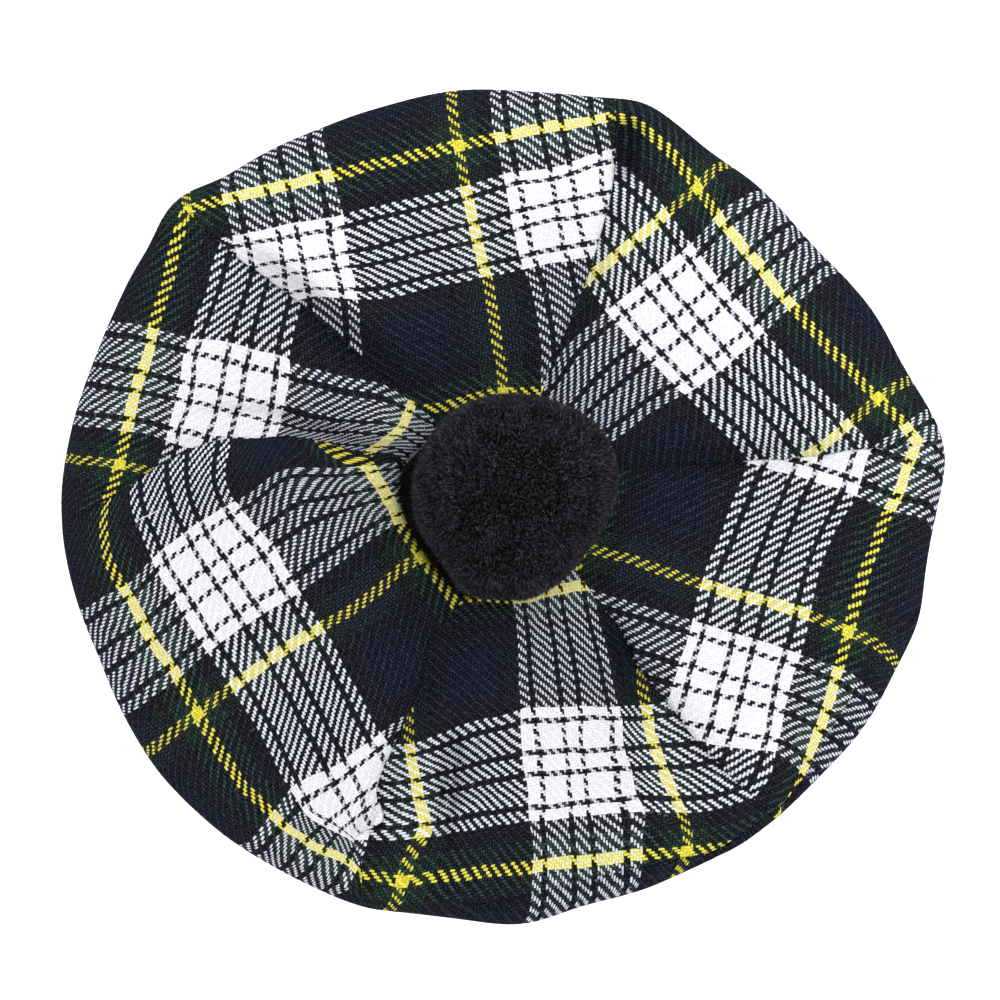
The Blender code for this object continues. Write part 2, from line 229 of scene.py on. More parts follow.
# ---------------------------------------------------------------- where the stripes run
# Stripes of the tartan, traced along the photograph, for each gore and way. A spoke runs
# outward and a ring runs round the hat. thread counts clockwise across the spokes and inward
# across the rings, from the outer crossing of two yellow stripes. Points are pixels of the photo.
Stripe = namedtuple("Stripe", "thread points")
STRIPES = {
    (1, "ring"): (
        Stripe(2, ((192, 208), (223, 200), (250, 193), (280, 187), (300, 182), (350, 171),
                   (400, 159), (457, 146), (495, 138), (540, 129), (580, 122), (606, 118))),
        Stripe(16, ((232, 236), (310, 221), (345, 214), (380, 205), (440, 192), (480, 182),
                    (503, 174), (550, 168), (612, 149))),
        Stripe(33, ((310, 259), (345, 253), (550, 204))),
        Stripe(41, ((310, 273), (345, 268), (550, 221))),
        Stripe(53, ((310, 288), (345, 289), (550, 250))),
        Stripe(58, ((358, 299), (385, 298), (420, 290), (460, 282), (500, 274), (523, 269),
                    (550, 264))),
        Stripe(80, ((363, 356),)),
        Stripe(104, ((430, 409), (503, 393), (541, 392))),
    ),
    (1, "spoke"): (
        Stripe(-98, ((192, 208),)),
        Stripe(-86, ((216, 181), (223, 200), (232, 236))),
        Stripe(-69, ((280, 240),)),
        Stripe(-61, ((298, 240),)),
        Stripe(-49, ((330, 240),)),
        Stripe(-44, ((320, 130), (333, 175), (343, 215), (358, 299), (363, 356))),
        Stripe(-26, ((430, 409),)),
        Stripe(2, ((450, 95), (456, 132), (461, 160), (467, 195), (473, 220), (479, 250),
                   (486, 275), (491, 300), (497, 340), (503, 385))),
        Stripe(16, ((489, 91), (495, 138), (503, 174), (523, 269), (529, 283), (537, 323),
                    (541, 363), (541, 392))),
        Stripe(33, ((554, 190),)),
        Stripe(41, ((574, 190),)),
        Stripe(53, ((603, 190),)),
        Stripe(58, ((601, 97), (606, 118), (612, 149))),
    ),
    (2, "ring"): (
        Stripe(2, ((612, 116), (632, 122), (651, 134), (669, 151), (684, 170), (705, 198),
                   (713, 209), (724, 224), (735, 237), (742, 248), (750, 256), (765, 272),
                   (775, 286), (790, 304), (799, 314), (816, 333), (833, 351), (849, 368),
                   (864, 385), (878, 398), (896, 416), (915, 438))),
        Stripe(16, ((668, 212), (691, 243), (765, 332), (778, 347), (794, 366), (812, 382),
                    (830, 398), (844, 414), (861, 432), (868, 443))),
        Stripe(32, ((760, 381), (777, 398), (794, 415), (809, 432))),
        Stripe(40, ((736, 384), (755, 401), (771, 419), (787, 437))),
        Stripe(52, ((740, 428), (756, 448))),
        Stripe(58, ((585, 281), (606, 311), (685, 395), (710, 420), (732, 442), (740, 452),
                    (748, 461))),
        Stripe(93, ((606, 446),)),
    ),
    (2, "spoke"): (
        Stripe(2, ((723, 162), (696, 189), (668, 212), (585, 281))),
        Stripe(16, ((757, 189), (717, 215), (691, 243), (606, 311), (575, 337), (558, 355),
                    (550, 372))),
        Stripe(58, ((836, 270), (794, 306), (764, 333), (685, 395), (655, 410), (625, 433),
                    (606, 446))),
        Stripe(104, ((908, 379), (878, 398), (850, 424))),
        Stripe(118, ((903, 424), (870, 450))),
    ),
    (3, "ring"): (
        Stripe(2, ((917, 440), (899, 490), (888, 512), (868, 565), (853, 612), (842, 657),
                   (829, 700), (812, 750), (802, 775), (787, 805))),
        Stripe(12, ((781, 776), (773, 789), (764, 801))),
        Stripe(16, ((865, 465), (857, 496), (843, 517), (832, 540), (822, 565), (810, 614),
                    (801, 655), (776, 752))),
        Stripe(21, ((849, 465), (780, 665))),
        Stripe(33, ((818, 465), (749, 665))),
        Stripe(41, ((794, 465), (725, 665))),
        Stripe(53, ((765, 465), (692, 665))),
        Stripe(58, ((748, 463), (738, 490), (716, 545), (701, 583), (693, 620), (679, 665))),
        Stripe(104, ((583, 547),)),
    ),
    (3, "spoke"): (
        Stripe(-44, ((932, 520), (888, 510), (857, 496), (748, 463))),
        Stripe(2, ((583, 547), (632, 560), (662, 571), (701, 583), (725, 591), (765, 601),
                   (795, 610), (848, 631), (868, 640), (888, 652), (897, 662))),
        Stripe(16, ((693, 620), (745, 637), (802, 655), (839, 668))),
        Stripe(21, ((745, 650),)),
        Stripe(33, ((745, 681),)),
        Stripe(41, ((745, 701),)),
        Stripe(53, ((745, 736),)),
        Stripe(58, ((728, 747), (745, 749), (776, 753), (803, 775))),
    ),
    (4, "ring"): (
        Stripe(2, ((370, 874), (400, 882), (425, 878), (468, 874), (495, 871), (540, 866),
                   (573, 862), (607, 858), (640, 855), (690, 851), (708, 849), (722, 847),
                   (736, 843))),
        Stripe(10, ((700, 829), (722, 826), (742, 820), (757, 813))),
        Stripe(16, ((452, 833), (480, 828), (500, 825), (530, 821), (570, 818), (600, 815),
                    (647, 812))),
        Stripe(21, ((548, 806), (590, 802), (637, 797))),
        Stripe(33, ((545, 774), (591, 770), (636, 768))),
        Stripe(41, ((545, 752), (590, 750), (634, 748))),
        Stripe(53, ((530, 721), (555, 720), (600, 717))),
        Stripe(58, ((417, 742), (440, 733), (470, 722), (503, 715), (521, 709), (562, 707),
                    (606, 707))),
        Stripe(104, ((463, 598), (475, 595), (521, 599), (549, 591), (580, 586))),
    ),
    (4, "spoke"): (
        Stripe(0, ((650, 690), (654, 720), (662, 750), (674, 780))),
        Stripe(2, ((641, 672), (643, 690), (647, 712), (651, 735), (656, 750), (667, 780),
                   (678, 806), (687, 830), (688, 847), (685, 863), (682, 871))),
        Stripe(4, ((636, 690), (641, 720), (649, 750), (660, 780))),
        Stripe(16, ((597, 610), (605, 638), (610, 662), (615, 690), (623, 720), (632, 770),
                    (646, 811), (644, 835), (642, 855), (641, 885))),
        Stripe(21, ((612, 735), (616, 773), (619, 800))),
        Stripe(33, ((580, 733), (582, 752), (586, 786), (588, 808))),
        Stripe(41, ((564, 735), (567, 762), (570, 795))),
        Stripe(53, ((537, 735), (540, 760), (544, 800))),
        Stripe(58, ((516, 620), (518, 650), (519, 690), (521, 741), (524, 770), (528, 817),
                    (532, 840), (532, 883))),
        Stripe(104, ((409, 717), (408, 740), (412, 760), (418, 792), (426, 823), (424, 835),
                     (416, 843), (407, 868), (402, 880))),
    ),
    (5, "ring"): (
        Stripe(-12, ((221, 817), (278, 871), (308, 886))),
        Stripe(-6, ((231, 805), (288, 857), (317, 873), (345, 889))),
        Stripe(0, ((102, 510), (100, 522), (99, 534))),
        Stripe(2, ((108, 503), (104, 520), (105, 548), (110, 565), (123, 587), (137, 612),
                   (152, 640), (170, 665), (185, 690), (198, 715), (212, 737), (230, 767),
                   (250, 792), (277, 818), (301, 836), (330, 853), (356, 868))),
        Stripe(4, ((108, 510), (107, 522), (108, 534))),
        Stripe(16, ((130, 492), (132, 510), (143, 537), (151, 558), (177, 605), (207, 652),
                    (223, 675), (242, 705), (263, 740), (285, 781), (300, 805), (322, 825),
                    (351, 840))),
        Stripe(21, ((307, 803), (313, 812))),
        Stripe(33, ((330, 775), (343, 800), (352, 820), (357, 832))),
        Stripe(41, ((357, 782), (363, 797))),
        Stripe(53, ((373, 747), (378, 750))),
        Stripe(58, ((231, 443), (225, 470), (235, 501), (275, 548), (293, 580), (312, 612),
                    (325, 630), (345, 667), (362, 700), (378, 730))),
        Stripe(90, ((283, 441), (298, 453), (313, 464), (322, 470), (329, 478), (340, 500),
                    (352, 520))),
        Stripe(96, ((302, 441), (314, 450), (325, 459), (333, 465), (340, 472), (345, 480),
                    (350, 489), (357, 500), (368, 520), (382, 540))),
        Stripe(102, ((316, 446), (323, 452), (331, 458), (342, 464), (357, 468), (366, 476),
                     (373, 486), (380, 496))),
        Stripe(104, ((325, 443), (333, 449), (341, 455), (352, 460), (364, 463), (372, 472),
                     (378, 482), (385, 493), (392, 505), (398, 516), (404, 530), (412, 543),
                     (422, 555), (433, 572), (445, 588), (456, 607))),
        Stripe(106, ((333, 441), (341, 446), (349, 452), (360, 457), (372, 461), (379, 470),
                     (385, 482))),
    ),
    (5, "spoke"): (
        Stripe(-86, ((349, 893), (355, 875), (362, 860), (368, 845))),
        Stripe(-81, ((332, 888), (340, 873), (346, 862))),
        Stripe(-69, ((303, 880), (313, 866), (323, 852), (345, 826), (355, 819), (368, 809))),
        Stripe(-61, ((283, 873), (297, 852), (307, 840), (337, 815), (347, 807), (360, 797))),
        Stripe(-49, ((259, 856), (268, 843), (287, 821), (318, 793), (335, 783), (350, 772),
                     (362, 763))),
        Stripe(-44, ((246, 847), (253, 838), (261, 827), (271, 814), (281, 801), (290, 790),
                     (305, 778), (323, 772), (347, 757), (367, 743))),
        Stripe(2, ((150, 752), (168, 737), (183, 723), (198, 715), (217, 698), (247, 677),
                   (272, 658), (300, 640), (322, 627), (348, 612), (374, 593), (397, 573),
                   (421, 557))),
        Stripe(16, ((133, 712), (148, 700), (165, 687), (180, 677), (208, 653), (240, 628),
                    (275, 607), (302, 592), (328, 573), (353, 555), (376, 537), (392, 526))),
        Stripe(58, ((87, 607), (102, 597), (124, 586), (140, 571), (152, 558), (175, 540),
                    (203, 520), (235, 501), (258, 487), (275, 473), (297, 467), (333, 468),
                    (355, 467))),
        Stripe(66, ((300, 457), (330, 456), (360, 455))),
        Stripe(74, ((305, 446), (335, 445), (365, 446))),
    ),
    (6, "ring"): (
        Stripe(2, ((184, 198), (184, 215), (178, 235), (173, 257), (167, 282), (160, 305),
                   (154, 327), (147, 357), (137, 388), (128, 423), (122, 453), (117, 475),
                   (107, 502))),
        Stripe(16, ((220, 242), (213, 263), (207, 290), (198, 313), (191, 335), (182, 365),
                    (178, 388), (174, 405), (167, 437))),
        Stripe(21, ((198, 348), (194, 375), (188, 407), (179, 432))),
        Stripe(33, ((228, 348), (223, 380), (216, 413), (207, 437))),
        Stripe(41, ((248, 357), (243, 383), (238, 408), (232, 432))),
        Stripe(53, ((277, 357), (275, 383), (272, 408), (265, 433))),
        Stripe(58, ((300, 307), (295, 330), (290, 358), (288, 387), (282, 413), (278, 433))),
        Stripe(104, ((410, 407), (402, 427), (392, 437), (380, 445), (371, 451), (367, 457))),
        Stripe(118, ((425, 444), (411, 455))),
    ),
    (6, "spoke"): (
        Stripe(2, ((70, 460), (100, 461), (120, 465), (143, 469))),
        Stripe(16, ((73, 427), (97, 427), (118, 430), (140, 433), (164, 440), (185, 447),
                    (396, 454), (405, 462))),
        Stripe(21, ((178, 430), (195, 433), (210, 438))),
        Stripe(22, ((300, 439), (330, 442), (360, 444), (380, 446))),
        Stripe(32, ((303, 432), (333, 434), (364, 436), (385, 436))),
        Stripe(33, ((202, 403), (228, 411), (254, 417), (278, 424))),
        Stripe(34, ((302, 428), (323, 430), (362, 431), (384, 431))),
        Stripe(40, ((301, 417), (333, 422), (364, 425), (386, 425))),
        Stripe(41, ((190, 384), (210, 387), (240, 397), (277, 406))),
        Stripe(42, ((301, 409), (330, 416), (362, 420), (384, 421))),
        Stripe(52, ((302, 383), (331, 393), (363, 398), (384, 402))),
        Stripe(53, ((208, 356), (237, 363), (272, 372))),
        Stripe(54, ((301, 378), (330, 384), (361, 391), (382, 395))),
        Stripe(58, ((112, 322), (132, 323), (152, 328), (177, 333), (190, 338), (220, 340),
                    (247, 348), (283, 356), (310, 368), (342, 376), (372, 381), (397, 391),
                    (425, 412))),
        Stripe(92, ((178, 240),)),
        Stripe(99, ((186, 214),)),
    ),
}
FIELD_UNIT = 100.0
FIELD_SMOOTHING = 0.004
TRACED_RIM_MARGIN = 9.0 * MM

# ---------------------------------------------------------------- colours
# The sett: its bands of threads, from one yellow stripe up to the next.
Band = namedtuple("Band", "threads yarn")
SETT = (
    Band(4, "yellow"), Band(6, "green"), Band(6, "black"), Band(4, "white"), Band(2, "black"),
    Band(10, "white"), Band(2, "black"), Band(6, "white"), Band(2, "black"), Band(10, "white"),
    Band(2, "black"), Band(4, "white"), Band(8, "black"), Band(24, "blue"), Band(6, "black"),
    Band(6, "green"),
)
YARNS = {
    "yellow": (0.83, 0.75, 0.092),
    "green": (0.0172, 0.0320, 0.0260),
    "black": (0.0145, 0.0148, 0.0198),
    "white": (0.925, 0.925, 0.945),
    "blue": (0.0132, 0.0144, 0.0280),
}

# A float is the stretch of two threads where a yarn lies on top. Its width and length are shares of
# the room that the weave leaves it, and the rest of that room is a gap, coloured with painted
# shade.
# A float's two rib lights, for pale and for dark yarn, are painted light and shade that set spoke
# floats apart from ring floats as lit and shaded twill ribs.
Float = namedtuple("Float", "width length pale_brightness dark_brightness")
SPOKE_FLOAT = Float(0.81, 0.95, 0.96, 0.82)
RING_FLOAT = Float(0.99, 0.99, 1.01, 1.18)

# The twill has four steps, 0 to 3, and the spoke's yarn is on top in steps 0 and 1.
TWILL_STEPS = 4.0
SPOKE_STEPS_END = 1.5

# Where floats end and gaps start on a float's relief, and what light and colour they share: the
# painted shade of the gaps, and painted light and shade on floats over dark yarn and over pale
# yarn.
GAP_EDGE = 0.18
FLOAT_EDGE = 0.62
GAP_BOUNCE = (0.66, 0.66, 0.66, 1.0)
GAP_LIGHT = (0.24, 0.24, 0.24, 1.0)
# Painted bluish shade on pale floats that lie over dark yarn.
PAINTED_SHADE_OVER_DARK = (0.76, 0.775, 0.86, 1.0)
# Painted light: floats over pale yarn are a little brighter, as if lit by light bounced off it.
PAINTED_BOUNCE_OVER_PALE = 1.04
LINE_THREADS = 2
LINE_COVER = 0.8
YARN_BLEED = 0.42

# How a yarn varies along its length and from its neighbours, and its fibres, clumps and lint, with
# painted glints in the dark wool's speckle.
YARN_WIDTH_SPREAD = 0.14
YARN_SHADE_SPREAD = 0.08
PALE_GRAIN_SPREAD = 0.60
EDGE_FIBRE = 0.12
CLUMP_CONTRAST = 2.6
CLUMP_LEAST = 0.1
SPECKLE_POWER = 3.5
SPECKLE_GAIN = 10.4
LINT_POWER = 5.0
LINT_LEVEL = 0.035
Shade = namedtuple("Shade", "gain base")
# Painted shade across a float's relief: its middle lit and its edges darker, far more on dark yarn
# than on pale.
DARK_FLOAT_PAINTED_SHADE = Shade(1.55, 0.06)
PALE_FLOAT_PAINTED_SHADE = Shade(0.25, 0.80)
PILE_SHADE = Shade(1.4, 0.15)
Noise = namedtuple("Noise", "scale detail")
FIBRE_NOISE = Noise(2.3, 4.0)
CLUMP_NOISE = Noise(0.7, 2.0)
LINT_NOISE = Noise(1.6, 3.0)
PAPER_NOISE = Noise(60.0, 2.0)
Waver = namedtuple("Waver", "threads scale detail")
WAVERS = (Waver(0.8, 0.35, 1.0), Waver(1.6, 0.09, 1.0))
FIBRE_RELIEF = 0.35
WEAVE_BUMP = 0.6
WEAVE_RELIEF = 0.22 * MM

Finish = namedtuple("Finish", "roughness specular")
WOOL_FINISH = Finish(1.0, 0.02)
PILE_FINISH = Finish(0.7, 0.10)
PAPER_FINISH = Finish(0.9, 0.1)
# The pile's colour at its roots is painted shade, nearly black; towards its tips it is lit.
PILE_ROOT_PAINTED_SHADE = (0.0012, 0.0012, 0.0016, 1.0)
PILE_TIP = (0.075, 0.073, 0.090, 1.0)
PILE_LIT_SHARE = 0.9
PALE_STRAND_POWER = 2.5
PAPER_COLORS = ((0.93, 0.93, 0.93, 1.0), (0.95, 0.95, 0.95, 1.0))


# ================================================================ the crown's surface
def smooth_values(x, knots, values):
    """Cubic through (knots, values), with slopes from each knot's neighbours, straight outside."""
    knots = np.asarray(knots, float)
    values = np.asarray(values, float)
    slopes = np.gradient(values, knots)
    within = np.clip(x, knots[0], knots[-1])
    i = np.clip(np.searchsorted(knots, within, side="right") - 1, 0, len(knots) - 2)
    step = knots[i + 1] - knots[i]
    u = (within - knots[i]) / step
    rise = values[i + 1] - values[i]
    bend = slopes[i] * step * (u - 2 * u**2 + u**3) + slopes[i + 1] * step * (u**3 - u**2)
    beyond = (x - within) * np.where(x < within, slopes[0], slopes[-1])
    return values[i] + rise * (3 * u**2 - 2 * u**3) + bend + beyond


def smooth_step(x, start, end):
    """0 up to start, 1 from end on, and an S curve between them."""
    u = np.clip((x - start) / (end - start), 0.0, 1.0)
    return u * u * (3 - 2 * u)


def half_turn(angle):
    """The same direction, from -180 to 180 degrees."""
    return np.mod(angle + 180.0, 360.0) - 180.0


def closed_table_value(table, column, angle):
    """A column of a table of angles, closed round a full turn."""
    angles = [row.angle for row in table]
    values = [getattr(row, column) * MM for row in table]
    knots = [a - 360 for a in angles[-3:]] + angles + [a + 360 for a in angles[:3]]
    return smooth_values(np.mod(angle, 360.0), knots, values[-3:] + values + values[:3])


def rim_value(angle, column):
    return closed_table_value(RIM, column, angle)


def meridian_knots():
    """Distance along the meridian at each station, on a hat with a round rim."""
    radii = [s.radius_fraction * MEAN_RIM_RADIUS for s in MERIDIAN]
    heights = [s.height_mm * MM for s in MERIDIAN]
    steps = np.hypot(np.diff(radii), np.diff(heights))
    return np.concatenate(([0.0], np.cumsum(steps)))


MERIDIAN_KNOTS = meridian_knots()
RIM_DISTANCE = MERIDIAN_KNOTS[[s.name for s in MERIDIAN].index("rim")]


def meridian_value(distance, column, scale=1.0):
    values = [getattr(s, column) * scale for s in MERIDIAN]
    return smooth_values(distance, MERIDIAN_KNOTS, values)


def seam_angle(index, radius_fraction):
    """Angle of a seam. Seam 6 is seam 0 after a whole clockwise turn."""
    turns, seam = divmod(index, len(SEAMS))
    angle = smooth_values(radius_fraction, SEAM_STATIONS, SEAMS[seam].angles)
    return angle - 360.0 * turns


def gore_position(angle, radius_fraction):
    """Share of the way across the gore that holds an angle, and degrees to its nearest seam."""
    first = seam_angle(0, radius_fraction)
    turned = np.mod(first - angle, 360.0)
    across = np.zeros_like(turned)
    nearest = np.full_like(turned, 360.0)
    for gore in range(len(SEAMS)):
        start = first - seam_angle(gore, radius_fraction)
        end = first - seam_angle(gore + 1, radius_fraction)
        inside = (turned >= start) & (turned <= end)
        across = np.where(inside, (turned - start) / (end - start), across)
        near = np.minimum(np.abs(turned - start), np.abs(end - turned))
        nearest = np.where(inside, near, nearest)
    return across, nearest


def two_sided_bump(distance, ccw_width, cw_width):
    width = np.where(distance > 0, ccw_width, cw_width)
    return np.exp(-(distance / width) ** 2)


def fold_height(angle, radius, folds):
    """Height that a table of folds adds to the top of the crown."""
    height = np.zeros_like(radius)
    for fold in folds:
        inner = fold.inner_mm * MM
        outer = fold.outer_mm * MM
        path = smooth_values(radius, (inner, (inner + outer) / 2, outer), fold.angles)
        off = np.radians(half_turn(angle - path)) * radius
        end_run = FOLD_END_SHARE * (outer - inner)
        ends = smooth_step(radius, inner, inner + end_run)
        ends *= smooth_step(-radius, -outer, end_run - outer)
        shape = two_sided_bump(off, fold.ccw_width_mm * MM, fold.cw_width_mm * MM)
        height += fold.height_mm * MM * shape * ends
    return height


def crease_depth(angle, radius, creases):
    """Depth of a table of creases that run along the rim."""
    depth = np.zeros_like(radius)
    for crease in creases:
        middle = (crease.from_angle + crease.to_angle) / 2
        half = (crease.to_angle - crease.from_angle) / 2
        ends = smooth_step(-np.abs(half_turn(angle - middle)), -half, 0.0)
        shape = np.exp(-((radius - crease.radius_mm * MM) / (crease.width_mm * MM)) ** 2)
        depth += crease.depth_mm * MM * shape * ends
    return depth


def tuck_place(tuck, angle):
    """Radius of a tuck's line at an angle, the threads hidden there, and its fading ends."""
    angle = half_turn(angle)
    within = np.clip(angle, tuck.angles[0], tuck.angles[-1])
    radius = smooth_values(within, tuck.angles, tuck.radii_mm) * MM
    hidden = smooth_values(within, tuck.angles, tuck.hidden_threads)
    ends = smooth_step(angle, tuck.angles[0] - TUCK_END, tuck.angles[0] + TUCK_END)
    ends *= smooth_step(-angle, -tuck.angles[-1] - TUCK_END, TUCK_END - tuck.angles[-1])
    return radius, hidden, ends


def crevice_depth(angle, radius):
    """Depth of the dark gap that the cloth leaves beside the pompom."""
    gap = POMPOM_CREVICE
    middle = (gap.from_angle + gap.to_angle) / 2
    half = (gap.to_angle - gap.from_angle) / 2
    ends = smooth_step(half - np.abs(half_turn(angle - middle)), 0.0, half / 3)
    wall = gap.wall_mm * MM
    edge = closed_table_value(POMPOM_SKIRT, "radius_mm", angle) + gap.margin_mm * MM
    outer = smooth_step(edge - radius, -wall / 2, wall / 2)
    inner = smooth_step(radius, gap.inner_mm * MM - 2 * wall, gap.inner_mm * MM + 2 * wall)
    return gap.depth_mm * MM * ends * outer * inner


def meridian_normal(distance):
    """Outward and upward parts of the unit normal to the meridian of a round hat."""
    ahead, behind = distance + MERIDIAN_PROBE, distance - MERIDIAN_PROBE
    out = meridian_value(ahead, "radius_fraction") - meridian_value(behind, "radius_fraction")
    out = out * MEAN_RIM_RADIUS
    up = meridian_value(ahead, "height_mm", MM) - meridian_value(behind, "height_mm", MM)
    length = np.hypot(out, up)
    return -up / length, out / length


def crown_surface(angle, distance):
    """Outer face of the crown at an angle and a distance along the meridian."""
    angle = np.asarray(angle, float)
    distance = np.asarray(distance, float)
    fraction = meridian_value(distance, "radius_fraction")
    share = meridian_value(distance, "outline_share")
    height = meridian_value(distance, "height_mm", MM)
    outward, upward = meridian_normal(distance)

    round_rim = (1 - share) * MEAN_RIM_RADIUS
    rim = rim_value(angle, "radius_mm") + closed_table_value(RIM_TRIM, "radius_mm", angle)
    radius = fraction * (share * rim + round_rim)
    across, nearest = gore_position(angle, fraction)
    swell = meridian_value(distance, "puff_mm", MM) * np.sin(np.pi * across)
    seam_off = np.radians(nearest) * radius
    seam_depth = meridian_value(distance, "seam_depth_mm", MM)
    swell -= seam_depth * np.exp(-(seam_off / SEAM_WIDTH) ** 2)

    on_top = smooth_step(-distance, -RIM_DISTANCE, FOLD_FADE_RUN - RIM_DISTANCE)
    lift = rim_value(angle, "lift_mm") * share * smooth_step(fraction, LIFT_START, 1.0)
    radius_out = radius + outward * swell
    x = CROWN_CENTRE[0] * share + radius_out * np.cos(np.radians(angle))
    y = CROWN_CENTRE[1] * share + radius_out * np.sin(np.radians(angle))
    relief = fold_height(angle, radius, FOLDS + FINE_FOLDS)
    relief -= crease_depth(angle, radius, RIM_CREASES + FINE_CREASES)
    relief -= crevice_depth(angle, radius)
    z = height + lift + upward * swell + on_top * relief
    return np.stack((x, y, z), axis=-1)


def crown_normal(angle, distance):
    """Unit normal of the crown's outer face, the same from both sides of a seam."""
    step, turn = NORMAL_STEP, NORMAL_TURN
    along = crown_surface(angle, distance + step) - crown_surface(angle, distance - step)
    around = crown_surface(angle + turn, distance) - crown_surface(angle - turn, distance)
    normal = np.cross(along, around)
    return normal / np.linalg.norm(normal, axis=-1, keepdims=True)


# ================================================================ the tartan on the crown
def photo_pixels(points):
    """Where the camera sees points, in pixels of the photograph."""
    centre = camera_centre()
    zoom = CAMERA_DISTANCE / (CAMERA_DISTANCE + RIM_PLANE - points[..., 2])
    x = PHOTO_SIZE / 2 + (points[..., 0] - centre[0]) * zoom / PHOTO_SCALE
    y = PHOTO_SIZE / 2 - (points[..., 1] - centre[1]) * zoom / PHOTO_SCALE
    return np.stack((x, y), axis=-1)


def camera_centre():
    """The point that the photograph's middle shows, in the plane of the rim."""
    x = (PHOTO_SIZE / 2 - PHOTO_ORIGIN[0]) * PHOTO_SCALE
    y = (PHOTO_ORIGIN[1] - PHOTO_SIZE / 2) * PHOTO_SCALE
    return np.array((x, y))


def plate_kernel(a, b):
    square = ((a[:, None, :] - b[None, :, :]) ** 2).sum(axis=2)
    return 0.5 * square * np.log(square + 1e-12)


def fit_field(pixels, values):
    """Thin plate over scattered pixels. Returns a function that reads it at other pixels."""
    at = pixels / FIELD_UNIT
    count = len(at)
    plane = np.column_stack((np.ones(count), at))
    system = np.zeros((count + 3, count + 3))
    system[:count, :count] = plate_kernel(at, at) + FIELD_SMOOTHING * np.eye(count)
    system[:count, count:] = plane
    system[count:, :count] = plane.T
    weights = np.linalg.solve(system, np.concatenate((values, np.zeros(3))))

    def read(pixels):
        where = pixels.reshape(-1, 2) / FIELD_UNIT
        value = plate_kernel(where, at) @ weights[:count]
        value += weights[count] + where @ weights[count + 1:]
        return value.reshape(pixels.shape[:-1])

    return read


def stripe_field(gore, way):
    """Thread count over the photograph, from a gore's stripes that run one way."""
    stripes = STRIPES[gore, way]
    pixels = [point for stripe in stripes for point in stripe.points]
    values = [stripe.thread for stripe in stripes for point in stripe.points]
    return fit_field(np.array(pixels, float), np.array(values, float))


def gore_threads(gore, points, rows):
    """Thread counts across the spokes and the rings for a grid of points on a gore.

    Up to last_row they come from the stripes traced in the photograph. Beyond it the cloth runs
    on at its own pitch, over the rim and under the hat, narrowing as the gore does.
    """
    pixels = photo_pixels(points)
    threads = np.stack([stripe_field(gore, way)(pixels) for way in ("spoke", "ring")], axis=-1)
    last_row = int(np.searchsorted(rows, RIM_DISTANCE - TRACED_RIM_MARGIN))
    first_row = int(np.searchsorted(rows, rows[last_row] - TRACED_RIM_MARGIN))
    middle = points.shape[1] // 2
    run = np.linalg.norm(np.diff(points, axis=0), axis=2)
    run = np.concatenate((np.zeros((1, points.shape[1])), np.cumsum(run, axis=0)))
    heading = threads[last_row, middle] - threads[first_row, middle]
    heading /= np.linalg.norm(heading) * THREAD_PITCH
    width = np.linalg.norm(points[:, -1] - points[:, 0], axis=1)
    offset = threads[last_row] - threads[last_row, middle]
    for row in range(last_row + 1, len(rows)):
        onward = (run[row] - run[last_row])[:, None] * heading
        narrowed = offset * width[row] / width[last_row]
        threads[row] = threads[last_row, middle] + onward + narrowed
    return threads


def slide_tucks(gore, points, rows):
    """Slides the cloth's top out over each tuck of a gore. Also gives the ring threads hidden."""
    hidden = np.zeros(points.shape[:2])
    on_top = int(np.searchsorted(rows, RIM_DISTANCE))
    index = np.arange(len(rows))[:, None]
    columns = np.arange(points.shape[1])
    for tuck in TUCKS:
        if tuck.gore != gore:
            continue
        flat = points[..., :2] - CROWN_CENTRE
        radius = np.linalg.norm(flat, axis=-1)
        line, count, ends = tuck_place(tuck, np.degrees(np.arctan2(flat[..., 1], flat[..., 0])))
        past = radius - line
        edge = np.clip((past[:on_top] <= 0).sum(axis=0) - 1, 0, on_top - 2)
        above = index <= edge
        rows_off = np.where(above, edge - index, index - edge - 1)
        move = np.where(above, TUCK_OVERHANG - past[edge, columns],
                        -TUCK_OVERHANG - past[edge + 1, columns])
        move = move * np.exp(-rows_off / TUCK_RUN_ROWS) * ends
        points = points.copy()
        points[..., :2] += flat * (move / radius)[..., None]
        drop = np.where(above, 0.0, TUCK_DEPTH * np.exp(-rows_off / TUCK_RISE_ROWS))
        points[..., 2] -= drop * ends
        hidden += np.where(above, 0.0, count * ends)
    return points, hidden


# ================================================================ meshes
GORE_COLUMNS = 120
GORE_ROWS = 150


def add_piece(name, verts, faces, material, uvs=None, smooth=True):
    """A mesh object. uvs has one pair for each vertex."""
    mesh = bpy.data.meshes.new(name)
    mesh.from_pydata(np.asarray(verts).reshape(-1, 3).tolist(), [], np.asarray(faces).tolist())
    if uvs is not None:
        layer = mesh.uv_layers.new(name="threads")
        loops = np.empty(len(mesh.loops), np.int32)
        mesh.loops.foreach_get("vertex_index", loops)
        layer.data.foreach_set("uv", np.asarray(uvs, np.float32)[loops].ravel())
    mesh.polygons.foreach_set("use_smooth", np.full(len(mesh.polygons), smooth))
    mesh.materials.append(material)
    mesh.update()
    obj = bpy.data.objects.new(name, mesh)
    bpy.context.scene.collection.objects.link(obj)
    return obj


def grid_faces(rows, columns, first=0):
    index = np.arange(rows * columns).reshape(rows, columns) + first
    corners = (index[:-1, :-1], index[:-1, 1:], index[1:, 1:], index[1:, :-1])
    return np.stack(corners, axis=-1).reshape(-1, 4)


def grid_border(rows, columns):
    index = np.arange(rows * columns).reshape(rows, columns)
    return np.concatenate((index[0, :-1], index[:-1, -1], index[-1, :0:-1], index[:0:-1, 0]))


